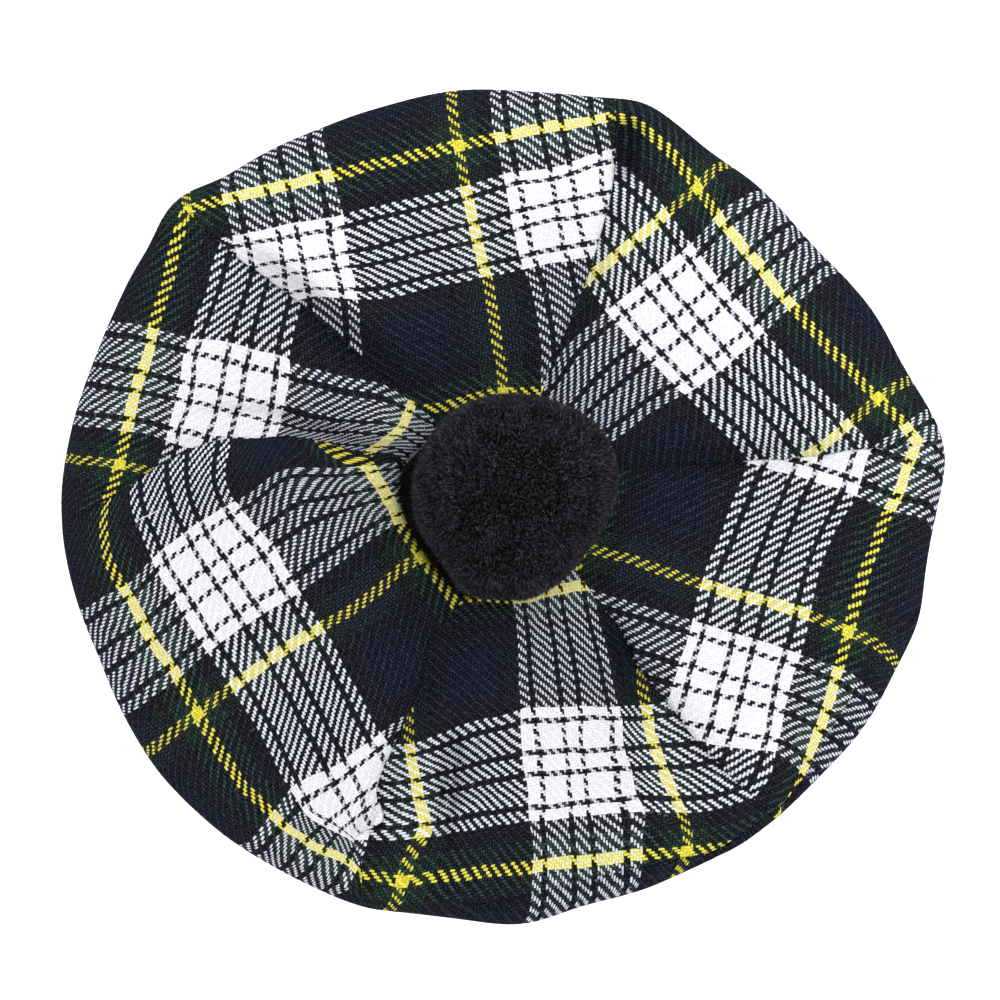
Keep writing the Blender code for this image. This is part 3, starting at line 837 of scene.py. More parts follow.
SEAM_ROLL_DEPTH = 0.6 * MM
SEAM_ROLL_WIDTH = 0.9 * MM
SEAM_ROLL_END = (0.88, 0.98)
SEAM_WOBBLE = 0.5 * MM
SEAM_WOBBLE_SCALE = 130.0
WRINKLE_HEIGHT = 0.5 * MM
WRINKLE_SCALE = 45.0
WRINKLE_CLEARANCE = 12.0 * MM

# What each gore was cut to before it was sewn: the box round it and the cloth in it.
Cut = namedtuple("Cut", "gore width_mm length_mm area_cm2")


def wandering_seam(index, distance):
    """Angle of a seam line that wanders a little, the same for the gores on both its sides."""
    fraction = meridian_value(distance, "radius_fraction")
    seam = index % len(SEAMS)
    wander = [noise.noise((seam, d * SEAM_WOBBLE_SCALE, 0.5)) for d in distance]
    angle = seam_angle(index, fraction)
    angle += np.degrees(SEAM_WOBBLE * np.array(wander) / (fraction * MEAN_RIM_RADIUS))
    for jog in SEAM_JOGS:
        if jog.seam == seam:
            off = (fraction - jog.radius_fraction) / jog.width_fraction
            angle += jog.degrees * np.exp(-off**2) * (distance < RIM_DISTANCE)
    return angle


def seam_step(gore, fraction, from_start, from_end):
    """Lift of a gore's two edges over, or under, its neighbours' edges."""
    start, rise, fall, end = STEP_REACH
    reach = smooth_step(fraction, start, rise) * smooth_step(-fraction, -end, -fall)
    before, after = SEAM_STEPS[gore], SEAM_STEPS[(gore + 1) % len(SEAMS)]
    lift = before.over * before.height_mm * np.exp(-(from_start / STEP_RUN) ** 2)
    lift -= after.over * after.height_mm * np.exp(-(from_end / STEP_RUN) ** 2)
    return lift * MM / 2 * reach


def gore_shape(gore):
    """Angles, distances and rows of a gore's fine grid."""
    rows = np.linspace(0.0, MERIDIAN_KNOTS[-1], GORE_ROWS)
    even = np.linspace(0.0, 1.0, GORE_COLUMNS)
    eased = (1 - np.cos(np.pi * even)) / 2
    distance, across = np.meshgrid(rows, (even + eased) / 2, indexing="ij")
    start = wandering_seam(gore, rows)[:, None]
    end = wandering_seam(gore + 1, rows)[:, None]
    return start + (end - start) * across, distance, across, rows


def soft_noise(points):
    """Soft noise at each of an array of points, from -1 to 1."""
    values = [noise.noise(point) for point in points.reshape(-1, 3).tolist()]
    return np.array(values).reshape(points.shape[:-1])


GoreSurface = namedtuple("GoreSurface", "outer normal threads")


def gore_surface(gore):
    """Outer face of a gore, finer than its solid, with wrinkles, overlaps and turned-down seams."""
    angle, distance, across, rows = gore_shape(gore)
    outer = crown_surface(angle, distance)
    normal = crown_normal(angle, distance)
    width = np.linalg.norm(outer[:, -1] - outer[:, 0], axis=1)[:, None]
    from_start, from_end = across * width, (1 - across) * width
    seam_off = np.minimum(from_start, from_end)
    fraction = np.where(distance < RIM_DISTANCE, meridian_value(distance, "radius_fraction"), 1.0)
    roll = SEAM_ROLL_DEPTH * np.exp(-(seam_off / SEAM_ROLL_WIDTH) ** 2)
    roll *= 1 - smooth_step(fraction, *SEAM_ROLL_END)
    loose = smooth_step(seam_off, 0.0, WRINKLE_CLEARANCE)
    loose *= smooth_step(MERIDIAN_KNOTS[-1] - distance, 0.0, WRINKLE_CLEARANCE)
    wrinkle = WRINKLE_HEIGHT * soft_noise(WRINKLE_SCALE * outer) * loose
    step = seam_step(gore, fraction, from_start, from_end)
    outer = outer + normal * (wrinkle - roll + step)[..., None]
    outer, hidden = slide_tucks(gore + 1, outer, rows)
    threads = gore_threads(gore + 1, outer, rows)
    threads[..., 1] -= hidden
    return GoreSurface(outer, normal, threads)


def dress_gore(gore, surface, material):
    """One gore of cloth, with its inner face and its edges."""
    outer, normal, threads = surface
    inner = outer - CLOTH_THICKNESS * normal
    count = GORE_ROWS * GORE_COLUMNS
    border = grid_border(GORE_ROWS, GORE_COLUMNS)
    after = np.roll(border, -1)
    wall = np.stack((border, after, after + count, border + count), axis=-1)
    faces = np.concatenate((
        grid_faces(GORE_ROWS, GORE_COLUMNS)[:, ::-1],
        grid_faces(GORE_ROWS, GORE_COLUMNS, count), wall))
    piece = add_piece(
        f"tartan_gore_{gore + 1}", np.concatenate((outer.reshape(-1, 3), inner.reshape(-1, 3))),
        faces, material, np.tile(threads.reshape(-1, 2), (2, 1)))
    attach(piece, "root")
    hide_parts(f"crown_gore_{gore + 1}")


# ---------------------------------------------------------------- loose fibres
FIBRE_SEED = 3
FIBRES_PER_GORE = 5000
FIBRE_WIDTH = 0.06 * MM
FIBRE_LENGTHS = (0.7 * MM, 2.2 * MM)
FIBRE_RISE = 0.35
FIBRE_CURL = 0.5
FIBRE_TIP_RISE = (-0.2, 0.6)


def unit(vectors):
    return vectors / np.linalg.norm(vectors, axis=-1, keepdims=True)


def bent_blades(root, first, second, width, random):
    """Flat tapered strands, bent once: root, then along first and along second."""
    middle = root + first
    tip = middle + second
    side = unit(np.cross(first, random.normal(0, 1, root.shape))) * (width / 2)
    verts = np.stack((root - side, root + side, middle - side, middle + side, tip), axis=1)
    corners = np.array(((0, 1, 3), (0, 3, 2), (2, 3, 4)))
    faces = (np.arange(len(root))[:, None, None] * 5 + corners).reshape(-1, 3)
    return verts, faces


def dress_fibres(surfaces, material):
    """Short wool fibres that stand off the cloth, each in the colour of its own yarn."""
    random = np.random.default_rng(FIBRE_SEED)
    roots, normals, threads = [], [], []
    for surface in surfaces:
        corner = surface.outer[:-1, :-1]
        areas = np.linalg.norm(np.cross(
            surface.outer[1:, :-1] - corner, surface.outer[:-1, 1:] - corner), axis=-1).ravel()
        cells = random.choice(len(areas), FIBRES_PER_GORE, p=areas / areas.sum())
        row, column = np.divmod(cells, GORE_COLUMNS - 1)
        share = random.random((FIBRES_PER_GORE, 1))
        roots.append(surface.outer[row, column] * (1 - share)
                     + surface.outer[row + 1, column + 1] * share)
        normals.append(surface.normal[row, column])
        threads.append(surface.threads[row, column])
    root, normal = np.concatenate(roots), np.concatenate(normals)
    thread = np.floor(np.concatenate(threads)) + 0.5
    length = random.uniform(*FIBRE_LENGTHS, (len(root), 1)) / 2
    along = unit(np.cross(normal, random.normal(0, 1, root.shape)))
    turned = unit(along + random.normal(0, FIBRE_CURL, root.shape))
    first = unit(along + FIBRE_RISE * normal) * length
    second = unit(turned + random.uniform(*FIBRE_TIP_RISE, (len(root), 1)) * normal) * length
    verts, faces = bent_blades(root, first, second, FIBRE_WIDTH, random)
    piece = add_piece("wool_fibres", verts, faces, material, np.repeat(thread, 5, axis=0),
                      smooth=False)
    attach(piece, "root")


# Stray bits on the cloth. Each runs between two places, as angle and radius in millimetres.
Stray = namedtuple("Stray", "name start end rise_mm width_mm threads")
STRAYS = (
    Stray("pale_hair", (-176.0, 119.5), (-177.6, 111.5), 0.9, 0.30, (24.5, 24.5)),
    Stray("loose_end", (-17.8, 132.5), (-16.0, 135.4), 0.6, 0.55, (60.5, 60.5)),
)
STRAY_STEPS = 8
STRAY_END_WIDTH = 0.4
STRAY_TAPER = 3.0
MERIDIAN_SAMPLES = 200


def dress_strays(material):
    """A pale hair on the fifth gore and a dark thread end at the third gore's rim."""
    distance = np.linspace(0.0, RIM_DISTANCE, MERIDIAN_SAMPLES)
    verts, faces, threads = [], [], []
    for stray in STRAYS:
        share = np.linspace(0.0, 1.0, STRAY_STEPS)
        angle = stray.start[0] + (stray.end[0] - stray.start[0]) * share
        radius = (stray.start[1] + (stray.end[1] - stray.start[1]) * share) * MM
        path = []
        for a, r in zip(angle, radius):
            line = crown_surface(np.full_like(distance, a), distance)
            reach = np.linalg.norm(line[:, :2] - CROWN_CENTRE, axis=1)
            turn = math.radians(a)
            path.append((CROWN_CENTRE[0] + r * math.cos(turn), CROWN_CENTRE[1] + r * math.sin(turn),
                         np.interp(r, reach, line[:, 2]) + stray.rise_mm * MM))
        path = np.array(path)
        heading = unit(path[-1] - path[0])
        side = unit(np.cross(heading, (0.0, 0.0, 1.0))) * stray.width_mm * MM / 2
        taper = STRAY_END_WIDTH + STRAY_TAPER * np.minimum(share, 1 - share)
        taper = np.minimum(1.0, taper)[:, None]
        first = len(verts)
        verts += [*(path - side * taper), *(path + side * taper)]
        step = np.arange(STRAY_STEPS - 1) + first
        faces += np.stack((step, step + 1, step + 1 + STRAY_STEPS, step + STRAY_STEPS), 1).tolist()
        threads += [stray.threads] * (2 * STRAY_STEPS)
    piece = add_piece("stray_ends", verts, faces, material, threads)
    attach(piece, "root")


# ================================================================ materials
class Graph:
    """A material, with short calls that add shader nodes to it and link them."""

    def __init__(self, name):
        self.material = bpy.data.materials.new(name)
        self.material.use_nodes = True
        self.nodes = self.material.node_tree.nodes
        self.links = self.material.node_tree.links
        self.shader = self.nodes["Principled BSDF"]

    def put(self, socket, value):
        if isinstance(value, bpy.types.NodeSocket):
            self.links.new(value, socket)
        else:
            socket.default_value = value

    def math(self, operation, *values, clamp=False):
        node = self.nodes.new("ShaderNodeMath")
        node.operation = operation
        node.use_clamp = clamp
        for socket, value in zip(node.inputs, values):
            self.put(socket, value)
        return node.outputs[0]

    def times(self, first, *others):
        for other in others:
            first = self.math("MULTIPLY", first, other)
        return first

    def spread(self, value, size, middle=0.0):
        """Spreads a value from 0 to 1 over a size, about a middle."""
        return self.math("MULTIPLY_ADD", value, size, middle - size / 2)

    def mix(self, factor, a, b):
        node = self.nodes.new("ShaderNodeMix")
        node.data_type = "FLOAT"
        for name, value in zip(("Factor", "A", "B"), (factor, a, b)):
            self.put(node.inputs[name], value)
        return node.outputs["Result"]

    def mix_color(self, factor, a, b, blend="MIX"):
        node = self.nodes.new("ShaderNodeMix")
        node.data_type = "RGBA"
        node.blend_type = blend
        self.put(node.inputs["Factor"], factor)
        # The colour sockets share their names with other types' sockets, so they go by number.
        self.put(node.inputs[6], a)
        self.put(node.inputs[7], b)
        return node.outputs[2]

    def blend(self, mode, a, b):
        return self.mix_color(1.0, a, b, mode)

    def smooth(self, value, low, high):
        node = self.nodes.new("ShaderNodeMapRange")
        node.interpolation_type = "SMOOTHSTEP"
        self.put(node.inputs["Value"], value)
        self.put(node.inputs["From Min"], low)
        self.put(node.inputs["From Max"], high)
        return node.outputs["Result"]

    def uv(self, name):
        node = self.nodes.new("ShaderNodeUVMap")
        node.uv_map = name
        return node.outputs["UV"]

    def split(self, vector):
        node = self.nodes.new("ShaderNodeSeparateXYZ")
        self.put(node.inputs[0], vector)
        return list(node.outputs)

    def vector(self, x, y, z=0.0):
        node = self.nodes.new("ShaderNodeCombineXYZ")
        for socket, value in zip(node.inputs, (x, y, z)):
            self.put(socket, value)
        return node.outputs[0]

    def grey(self, level):
        return self.vector(level, level, level)

    def noise(self, vector, scale, detail, color=False):
        node = self.nodes.new("ShaderNodeTexNoise")
        self.put(node.inputs["Vector"], vector)
        node.inputs["Scale"].default_value = scale
        node.inputs["Detail"].default_value = detail
        return node.outputs["Color" if color else "Fac"]

    def random(self, vector):
        node = self.nodes.new("ShaderNodeTexWhiteNoise")
        node.noise_dimensions = "3D"
        self.put(node.inputs["Vector"], vector)
        return node.outputs["Value"]

    def bump(self, height, distance, strength):
        node = self.nodes.new("ShaderNodeBump")
        node.inputs["Strength"].default_value = strength
        node.inputs["Distance"].default_value = distance
        self.put(node.inputs["Height"], height)
        self.put(self.shader.inputs["Normal"], node.outputs["Normal"])

    def surface(self, color, roughness, specular):
        self.put(self.shader.inputs["Base Color"], color)
        self.shader.inputs["Roughness"].default_value = roughness
        self.shader.inputs["Specular IOR Level"].default_value = specular


def sett_color(graph, thread):
    """Colour of a whole-numbered thread, from the sett, and 1 where it is in a thin line."""
    place = graph.math("FLOORED_MODULO", thread, float(SETT_THREADS))
    place = graph.math("DIVIDE", graph.math("ADD", place, 0.5), float(SETT_THREADS))
    node = graph.nodes.new("ShaderNodeValToRGB")
    ramp = node.color_ramp
    ramp.interpolation = "CONSTANT"
    start = 0
    for index, band in enumerate(SETT):
        position = start / SETT_THREADS
        stop = ramp.elements[0] if index == 0 else ramp.elements.new(position)
        stop.position = position
        stop.color = (*YARNS[band.yarn], float(band.threads == LINE_THREADS))
        start += band.threads
    ramp.elements.remove(ramp.elements[len(ramp.elements) - 1])
    graph.put(node.inputs["Fac"], place)
    return node.outputs["Color"], node.outputs["Alpha"]


def dome(graph, share, width):
    """Half circle over the middle of a share from 0 to 1: 1 at the middle, 0 outside width."""
    centred = graph.math("DIVIDE", graph.math("MULTIPLY_ADD", share, 2.0, -1.0), width)
    square = graph.times(centred, centred)
    return graph.math("SQRT", graph.math("SUBTRACT", 1.0, square, clamp=True))


def wavering_threads(graph, threads):
    """Thread counts across the spokes and the rings, with the small waver of soft yarn."""
    counts = graph.split(threads)[:2]
    for waver in WAVERS:
        shifts = graph.split(graph.noise(threads, waver.scale, waver.detail, color=True))
        counts = [graph.math("ADD", count, graph.spread(shift, waver.threads))
                  for count, shift in zip(counts, shifts)]
    return counts


def weave(graph, threads):
    """Two over, two under: which thread is on top, and the place across and along its float."""
    spoke, ring = wavering_threads(graph, threads)
    spoke_thread, ring_thread = graph.math("FLOOR", spoke), graph.math("FLOOR", ring)
    spoke_share, ring_share = graph.math("FRACT", spoke), graph.math("FRACT", ring)
    step = graph.math("SUBTRACT", spoke_thread, ring_thread)
    step = graph.math("FLOORED_MODULO", step, TWILL_STEPS)
    spoke_on_top = graph.math("LESS_THAN", step, SPOKE_STEPS_END)
    across = graph.mix(spoke_on_top, ring_share, spoke_share)
    along_spoke = graph.math("ADD", graph.math("SUBTRACT", 1.0, step), ring_share)
    along_ring = graph.math("ADD", graph.math("SUBTRACT", step, 2.0), spoke_share)
    along = graph.times(graph.mix(spoke_on_top, along_ring, along_spoke), 0.5)
    return spoke_thread, ring_thread, spoke_on_top, across, along


def float_relief(graph, spoke_on_top, across, along, yarn):
    """Height of the float on top: 1 along its middle, 0 in the gaps beside it."""
    width = graph.times(graph.mix(spoke_on_top, RING_FLOAT.width, SPOKE_FLOAT.width),
                        graph.spread(yarn, YARN_WIDTH_SPREAD, 1.0))
    length = graph.mix(spoke_on_top, RING_FLOAT.length, SPOKE_FLOAT.length)
    return graph.times(dome(graph, across, width), dome(graph, along, length))


def painted_gap_shade(graph, spoke_color, ring_color, paler):
    """Painted shade in the gaps: the darker yarn, dimmed to the light that the paler one lets in.
    """
    light = graph.blend("ADD", graph.blend("MULTIPLY", paler, GAP_BOUNCE), GAP_LIGHT)
    return graph.blend("MULTIPLY", graph.blend("DARKEN", spoke_color, ring_color), light)


def top_color(graph, spoke_on_top, spoke_color, ring_color, gap_pale):
    """Colour of the yarn on top, and how pale it is, tinted by the yarn that it lies on. Pale yarn
    over dark yarn gets a painted bluish shade.
    """
    top = graph.mix_color(spoke_on_top, ring_color, spoke_color)
    under = graph.mix_color(spoke_on_top, spoke_color, ring_color)
    top_pale = graph.split(top)[1]
    top = graph.mix_color(graph.times(top_pale, gap_pale, YARN_BLEED), top, under)
    # Painted shade: a pale float over dark yarn is dimmed and tinted blue.
    painted_shade_over_dark = graph.times(top_pale, graph.math("SUBTRACT", 1.0, gap_pale))
    return graph.mix_color(painted_shade_over_dark, top, graph.blend("MULTIPLY", top, PAINTED_SHADE_OVER_DARK)), top_pale


def wool_speckle(graph, threads, fibre):
    """Speckle of dark wool: uneven fibres with painted glints on them, stronger in some clumps than
    in others.
    """
    clump = graph.spread(graph.noise(threads, *CLUMP_NOISE), CLUMP_CONTRAST, 1.0)
    speckle = graph.times(graph.math("POWER", fibre, SPECKLE_POWER), SPECKLE_GAIN)
    return graph.times(speckle, graph.math("MAXIMUM", clump, CLUMP_LEAST))


def tartan_material():
    """Wool twill: each thread passes over two and under two, one thread on at each row."""
    graph = Graph("tartan_twill")
    threads = graph.uv("threads")
    spoke_thread, ring_thread, spoke_on_top, across, along = weave(graph, threads)
    top_thread = graph.mix(spoke_on_top, ring_thread, spoke_thread)
    yarn = graph.random(graph.vector(top_thread, spoke_on_top))
    fibre = graph.noise(threads, *FIBRE_NOISE)
    speckle = wool_speckle(graph, threads, fibre)
    relief = float_relief(graph, spoke_on_top, across, along, yarn)

    spoke_color, spoke_line = sett_color(graph, spoke_thread)
    ring_color, ring_line = sett_color(graph, ring_thread)
    paler = graph.blend("LIGHTEN", spoke_color, ring_color)
    # Painted shade between the floats, where the threads dip under each other.
    gap = painted_gap_shade(graph, spoke_color, ring_color, paler)
    gap_pale = graph.split(gap)[1]
    top, top_pale = top_color(graph, spoke_on_top, spoke_color, ring_color, gap_pale)

    # Painted light and shade across each float's rounded relief, a little brighter over pale yarn.
    painted_relief_shade = graph.mix(top_pale, graph.math("MULTIPLY_ADD", relief, *DARK_FLOAT_PAINTED_SHADE),
                     graph.math("MULTIPLY_ADD", relief, *PALE_FLOAT_PAINTED_SHADE))
    painted_relief_light_and_shade = graph.mix(gap_pale, painted_relief_shade, PAINTED_BOUNCE_OVER_PALE)
    uneven = graph.mix(top_pale, speckle, graph.spread(fibre, PALE_GRAIN_SPREAD, 1.0))
    # Painted light and shade that make ring floats and spoke floats differ, as on lit and shaded
    # twill ribs.
    painted_rib_light = graph.mix(
        top_pale,
        graph.mix(spoke_on_top, RING_FLOAT.dark_brightness, SPOKE_FLOAT.dark_brightness),
        graph.mix(spoke_on_top, RING_FLOAT.pale_brightness, SPOKE_FLOAT.pale_brightness))
    # The yarn's level: painted light and shade from its relief and ribs, times its own uneven
    # fibres and tone.
    level = graph.times(painted_relief_light_and_shade, uneven, graph.spread(yarn, YARN_SHADE_SPREAD, 1.0), painted_rib_light)
    top = graph.blend("MULTIPLY", top, graph.grey(level))
    gap = graph.blend("MULTIPLY", gap, graph.grey(graph.mix(gap_pale, speckle, 1.0)))

    # Where a float's relief is low the colour falls to the gap's painted shade; thin lines keep
    # more of their float.
    frayed = graph.math("ADD", relief, graph.spread(fibre, EDGE_FIBRE))
    cover = graph.smooth(frayed, GAP_EDGE, FLOAT_EDGE)
    in_line = graph.math("MAXIMUM", spoke_line, ring_line)
    crisp = graph.times(in_line, graph.split(paler)[1], LINE_COVER)
    color = graph.mix_color(graph.math("MAXIMUM", cover, crisp), gap, top)
    lint = graph.math("POWER", graph.noise(threads, *LINT_NOISE), LINT_POWER)
    color = graph.blend("ADD", color, graph.grey(graph.times(lint, LINT_LEVEL)))
    graph.surface(color, *WOOL_FINISH)
    graph.bump(graph.math("MULTIPLY_ADD", fibre, FIBRE_RELIEF, relief), WEAVE_RELIEF, WEAVE_BUMP)
    return graph.material


def pile_material():
    """Black clipped yarn, with painted shade that darkens it towards the roots, and some paler
    strands.
    """
    graph = Graph("black_pile")
    strand, height = graph.split(graph.uv("threads"))[:2]
    strand = graph.random(graph.vector(graph.math("FLOOR", strand), 0.0))
    shade = graph.math("MULTIPLY_ADD", graph.math("POWER", strand, PALE_STRAND_POWER), *PILE_SHADE)
    # Painted shade: each strand darkens towards its root, where the rest of the pile shades it.
    level = graph.times(graph.smooth(height, 0.0, PILE_LIT_SHARE), shade)
    graph.surface(graph.mix_color(level, PILE_ROOT_PAINTED_SHADE, PILE_TIP), *PILE_FINISH)
    return graph.material


def floor_material():
    """White paper that glows, so that it shows no shadow, as in the photograph."""
    graph = Graph("white_floor")
    place = graph.nodes.new("ShaderNodeTexCoord").outputs["Object"]
    paper = graph.mix_color(graph.noise(place, *PAPER_NOISE), *PAPER_COLORS)
    graph.surface(paper, *PAPER_FINISH)
    graph.put(graph.shader.inputs["Emission Color"], paper)
    graph.shader.inputs["Emission Strength"].default_value = FLOOR_GLOW
    return graph.material


# ================================================================ headband
BAND_COLUMNS = 360
BAND_SECTION_STEPS = 6
BAND_EDGE_RADIUS = 1.2 * MM
BAND_WELD = 0.01 * MM


def dress_headband(material):
    """Upright band of folded tartan with rounded edges."""
    inner, outer, edge = BAND_INNER_RADIUS, BAND_OUTER_RADIUS, BAND_EDGE_RADIUS
    section = []
    corners = (
        (outer - edge, edge, -90), (outer - edge, BAND_HEIGHT - edge, 0),
        (inner + edge, BAND_HEIGHT - edge, 90), (inner + edge, edge, 180))
    for radius, height, start in corners:
        for step in range(BAND_SECTION_STEPS + 1):
            turn = math.radians(start + 90 * step / BAND_SECTION_STEPS)
            section.append((radius + edge * math.cos(turn), height + edge * math.sin(turn)))
    section = np.array((*section, section[0]))
    run = np.linalg.norm(np.diff(section, axis=0), axis=1)
    run = np.concatenate(([0.0], np.cumsum(run)))[:, None]
    angle = np.radians(np.linspace(0, 360, BAND_COLUMNS + 1))
    radius, height = section[:, :1], section[:, 1:]
    verts = np.stack(np.broadcast_arrays(
        radius * np.cos(angle), radius * np.sin(angle), height), axis=-1)
    threads = np.stack(np.broadcast_arrays(
        -angle * outer / THREAD_PITCH, run / THREAD_PITCH), axis=-1)
    faces = grid_faces(len(run), len(angle))[:, ::-1]
    piece = add_piece("headband_cloth", verts, faces, material, threads.reshape(-1, 2))
    bm = bmesh.new()
    bm.from_mesh(piece.data)
    bmesh.ops.remove_doubles(bm, verts=bm.verts, dist=BAND_WELD)
    bm.to_mesh(piece.data)
    bm.free()
    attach(piece, "root")
    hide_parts("headband")


STITCH_LENGTH = 2.6 * MM
STITCH_PITCH = 4.0 * MM
STITCH_WIDTH = 0.5 * MM
STITCH_HEIGHTS = (4.5 * MM, 22.5 * MM)
STITCH_THREAD = (60.5, 60.5)


def dress_stitches(material):
    """Two rows of short black stitches on each face of the headband, as one mesh."""
    verts, faces = [], []
    # Each stitch is an octahedron: its two ends, then the four corners round its middle.
    corners = ((0, 2, 3), (0, 3, 4), (0, 4, 5), (0, 5, 2),
               (1, 3, 2), (1, 4, 3), (1, 5, 4), (1, 2, 5))
    for radius in (BAND_INNER_RADIUS, BAND_OUTER_RADIUS):
        count = round(2 * math.pi * radius / STITCH_PITCH)
        for height in STITCH_HEIGHTS:
            for turn in np.arange(count) * 2 * math.pi / count:
                out = np.array((math.cos(turn), math.sin(turn), 0.0))
                along = np.array((-out[1], out[0], 0.0)) * STITCH_LENGTH / 2
                middle = out * radius + np.array((0.0, 0.0, height))
                thick, tall = out * STITCH_WIDTH / 2, np.array((0.0, 0.0, STITCH_WIDTH / 2))
                first = len(verts)
                verts += [middle - along, middle + along,
                          middle + thick, middle + tall, middle - thick, middle - tall]
                faces += [tuple(first + corner for corner in face) for face in corners]
    threads = np.tile(STITCH_THREAD, (len(verts), 1))
    piece = add_piece("headband_stitches", verts, faces, material, threads)
    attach(piece, "root")


# ================================================================ pompom
STRAND_SEED = 7
STRAND_COUNT = 56000
STRAND_WIDTH = 0.38 * MM
STRAND_LENGTH = 2.1 * MM
STRAND_LENGTH_SPREAD = 0.25 * MM
STRAND_ROOT_DEPTH = 1.6 * MM
STRAND_LEAN = 0.75
STRAND_LEAN_RANGE = (0.4, 1.5)
STRAND_ROOT_LEAN = 0.6
STRAND_TIP_RISE = 0.7
STRAND_TIP_JITTER = 0.35
STRAND_SHADES = 500
BLADE_SHARES = (0, 0, 0.6, 0.6, 1)
SWIRL_SCALE = 110.0
SWIRL_OFFSETS = (0.0, 31.4, 57.9)
SWIRL_JITTER = 0.8
SEAT_CLEARANCE = 1.0 * MM
CORE_DEPTH = 0.1 * MM
CORE_SUBDIVISIONS = 5
SKIRT_HEIGHT = -0.42
SKIRT_RUN = 0.25
SKIRT_SHADE = (-0.05, 0.12)
CREVICE_FADE = (10, 20)
PomSide = namedtuple("PomSide", "angle radius_mm")
POMPOM_OUTLINE = (
    PomSide(0, 32.8), PomSide(17, 34.4), PomSide(36, 34.8), PomSide(51, 33.8), PomSide(65, 32.5),
    PomSide(88, 31.9), PomSide(135, 32.2), PomSide(155, 31.2), PomSide(181, 31.3),
    PomSide(200, 30.9), PomSide(223, 30.3), PomSide(243, 34.0), PomSide(260, 33.2),
    PomSide(280, 33.0), PomSide(305, 30.6), PomSide(322, 29.6), PomSide(338, 30.3),
)
# The dark lower strands, in painted shade, that fill the gap between the pompom's left side and the
# cloth.
POMPOM_SKIRT = (
    PomSide(150, 33.0), PomSide(172, 35.2), PomSide(188, 34.3), PomSide(205, 32.9),
    PomSide(218, 32.8), PomSide(232, 33.7), PomSide(243, 34.1), PomSide(256, 33.2),
)


def pompom_centre():
    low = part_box("pompom")[0]
    return np.array((*CROWN_CENTRE, low.z + POMPOM_SEAT_DEPTH))


def even_directions(count):
    """Directions spread evenly over a sphere."""
    index = np.arange(count) + 0.5
    height = 1 - 2 * index / count
    turn = index * math.pi * (3 - math.sqrt(5))
    flat = np.sqrt(1 - height**2)
    return np.stack((flat * np.cos(turn), flat * np.sin(turn), height), -1)


def beside_crevice(out):
    """1 on the side of the pompom that faces the dark gap in the cloth, 0 elsewhere."""
    turned = np.mod(np.degrees(np.arctan2(out[:, 1], out[:, 0])), 360.0)
    start, end = POMPOM_CREVICE.from_angle, POMPOM_CREVICE.to_angle
    before, after = CREVICE_FADE
    fade_in = smooth_step(turned, start - before, start + after)
    return fade_in * smooth_step(-turned, -end - before, after - end)


def pompom_swell(out):
    """How far the pompom reaches in a direction, as a share of its mean radius."""
    angle = np.degrees(np.arctan2(out[:, 1], out[:, 0]))
    height = out[:, 2]
    side = closed_table_value(POMPOM_OUTLINE, "radius_mm", angle) / POMPOM_RADIUS
    skirt = closed_table_value(POMPOM_SKIRT, "radius_mm", angle) / POMPOM_RADIUS
    around = 1 - SKIRT_HEIGHT**2
    bulge = skirt / math.sqrt(around) - 1 - (side - 1) * around
    bulge *= beside_crevice(out) * np.exp(-((height - SKIRT_HEIGHT) / SKIRT_RUN) ** 2)
    return (1 + (side - 1) * (1 - height**2) + bulge)[:, None]


def dress_pompom(material):
    """Clipped pile: thousands of short strands, combed into swirls, over a dark ball."""
    random = np.random.default_rng(STRAND_SEED)
    centre = pompom_centre()
    out = even_directions(STRAND_COUNT)
    out = out[out[:, 2] * POMPOM_HEAD_RADIUS > SEAT_CLEARANCE - POMPOM_SEAT_DEPTH]
    count = len(out)
    place = out * POMPOM_RADIUS * SWIRL_SCALE
    swirl = np.stack([soft_noise(place + offset) for offset in SWIRL_OFFSETS], axis=-1)
    swirl -= (swirl * out).sum(axis=1, keepdims=True) * out
    comb = unit(unit(swirl) + random.normal(0, SWIRL_JITTER, out.shape))
    lean = STRAND_LEAN * random.uniform(*STRAND_LEAN_RANGE, (count, 1))
    length = (STRAND_LENGTH + random.normal(0, 1, (count, 1)) * STRAND_LENGTH_SPREAD) / 2
    root = out * (POMPOM_RADIUS * pompom_swell(out) - STRAND_ROOT_DEPTH)
    first = unit(out + STRAND_ROOT_LEAN * lean * comb) * length
    jitter = random.normal(0, STRAND_TIP_JITTER, out.shape)
    second = unit(out * STRAND_TIP_RISE + lean * comb + jitter) * length
    verts, faces = bent_blades(root, first, second, STRAND_WIDTH, random)
    verts[:, :, 2] = np.maximum(verts[:, :, 2], -POMPOM_SEAT_DEPTH)
    uvs = np.empty((*verts.shape[:2], 2))
    uvs[:, :, 0] = random.integers(0, STRAND_SHADES, count)[:, None] + 0.5
    # Painted shade: the lower strands beside the crevice take the dark root colour all along.
    hidden = beside_crevice(out) * smooth_step(-out[:, 2], *SKIRT_SHADE)
    uvs[:, :, 1] = np.outer(1 - hidden, BLADE_SHARES)
    piece = add_piece("pompom_pile", verts + centre, faces, material, uvs.reshape(-1, 2),
                      smooth=False)
    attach(piece, "root")
    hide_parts("pompom")
    dress_pompom_core(centre, material)


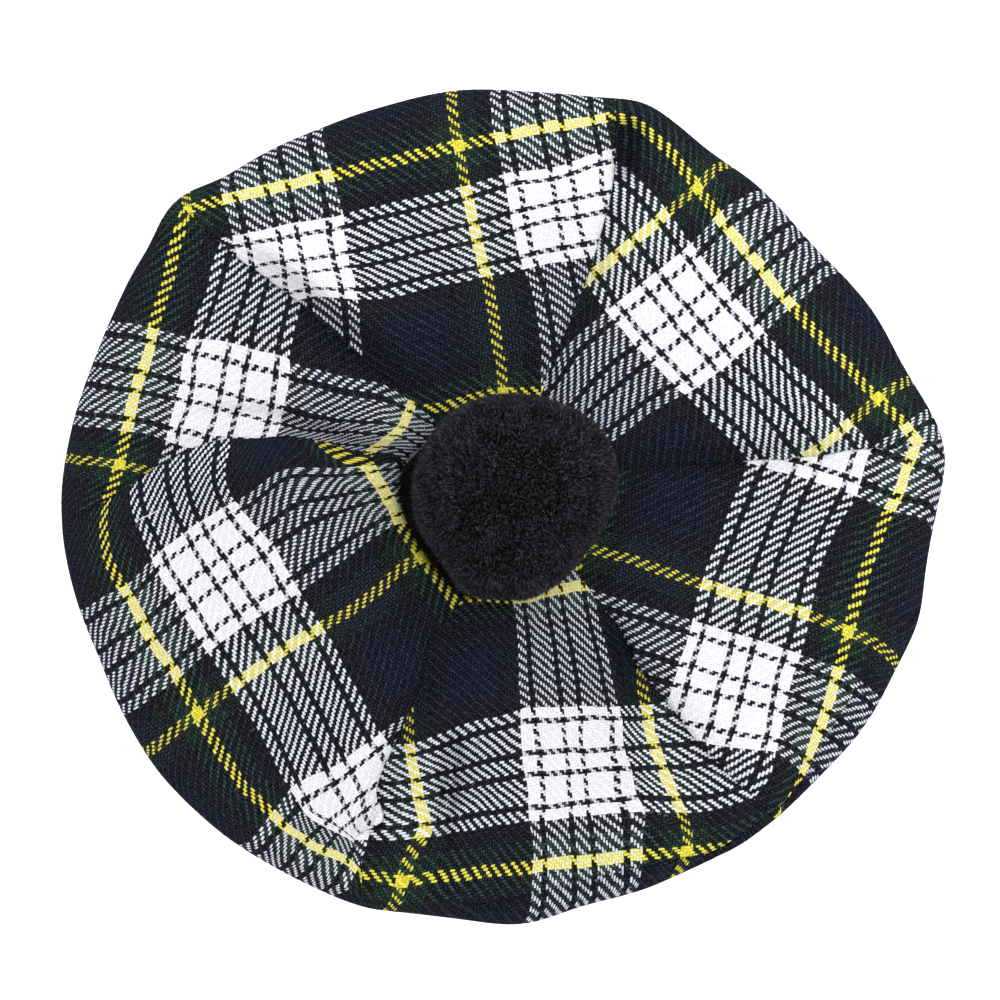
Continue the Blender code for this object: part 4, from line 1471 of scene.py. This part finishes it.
def dress_pompom_core(centre, material):
    """Dark ball that the strands stand on, in the pile's painted root shade."""
    bm = bmesh.new()
    bmesh.ops.create_icosphere(bm, subdivisions=CORE_SUBDIVISIONS, radius=1.0)
    swell = pompom_swell(np.array([vert.co.normalized() for vert in bm.verts]))
    for vert, share in zip(bm.verts, swell):
        vert.co *= float(share[0] * POMPOM_RADIUS - STRAND_ROOT_DEPTH - CORE_DEPTH)
        vert.co.z = max(vert.co.z, -POMPOM_SEAT_DEPTH)
    mesh = bpy.data.meshes.new("pompom_core")
    bm.to_mesh(mesh)
    bm.free()
    mesh.shade_smooth()
    mesh.transform(Matrix.Translation(Vector(centre)))
    mesh.materials.append(material)
    piece = bpy.data.objects.new("pompom_core", mesh)
    bpy.context.scene.collection.objects.link(piece)
    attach(piece, "root")


# ================================================================ studio
FLOOR_HALF = 3.0
FLOOR_GLOW = 0.9
SKY_STRENGTH = 0.68
KEY_DIRECTION = (0.23, 0.28, 1.0)
KEY_ANGLE = 50.0
KEY_STRENGTH = 1.65
SENSOR_WIDTH = 36.0
CLIP_END = 20.0


def add_floor(material):
    half = FLOOR_HALF
    verts = ((-half, -half, 0), (half, -half, 0), (half, half, 0), (-half, half, 0))
    floor = add_piece("studio_floor", verts, ((0, 1, 2, 3),), material)


def add_key_light():
    """Broad light from high up, a little behind the hat and to its right."""
    light = bpy.data.lights.new("key", "SUN")
    light.energy = KEY_STRENGTH
    light.angle = math.radians(KEY_ANGLE)
    key = bpy.data.objects.new("key", light)
    key.rotation_euler = Vector(KEY_DIRECTION).to_track_quat("Z", "Y").to_euler()
    bpy.context.scene.collection.objects.link(key)


def add_studio():
    scene = bpy.context.scene
    scene.view_settings.view_transform = "Standard"
    world = bpy.data.worlds.new("studio")
    scene.world = world
    world.use_nodes = True
    background = world.node_tree.nodes["Background"]
    background.inputs["Color"].default_value = (1.0, 1.0, 1.0, 1.0)
    background.inputs["Strength"].default_value = SKY_STRENGTH
    add_key_light()


def add_camera():
    data = bpy.data.cameras.new("photo_camera")
    data.sensor_width = SENSOR_WIDTH
    data.lens = SENSOR_WIDTH * CAMERA_DISTANCE / (PHOTO_SIZE * PHOTO_SCALE)
    data.clip_end = CLIP_END
    camera = bpy.data.objects.new("photo_camera", data)
    camera.location = (*camera_centre(), RIM_PLANE + CAMERA_DISTANCE)
    bpy.context.scene.collection.objects.link(camera)
    bpy.context.scene.camera = camera


def main():
    add_camera()
    add_studio()
    add_floor(floor_material())
    tartan = tartan_material()
    surfaces = [gore_surface(gore) for gore in range(len(SEAMS))]
    for gore, surface in enumerate(surfaces):
        dress_gore(gore, surface, tartan)
    dress_fibres(surfaces, tartan)
    dress_strays(tartan)
    dress_headband(tartan)
    dress_stitches(tartan)
    dress_pompom(pile_material())


main()
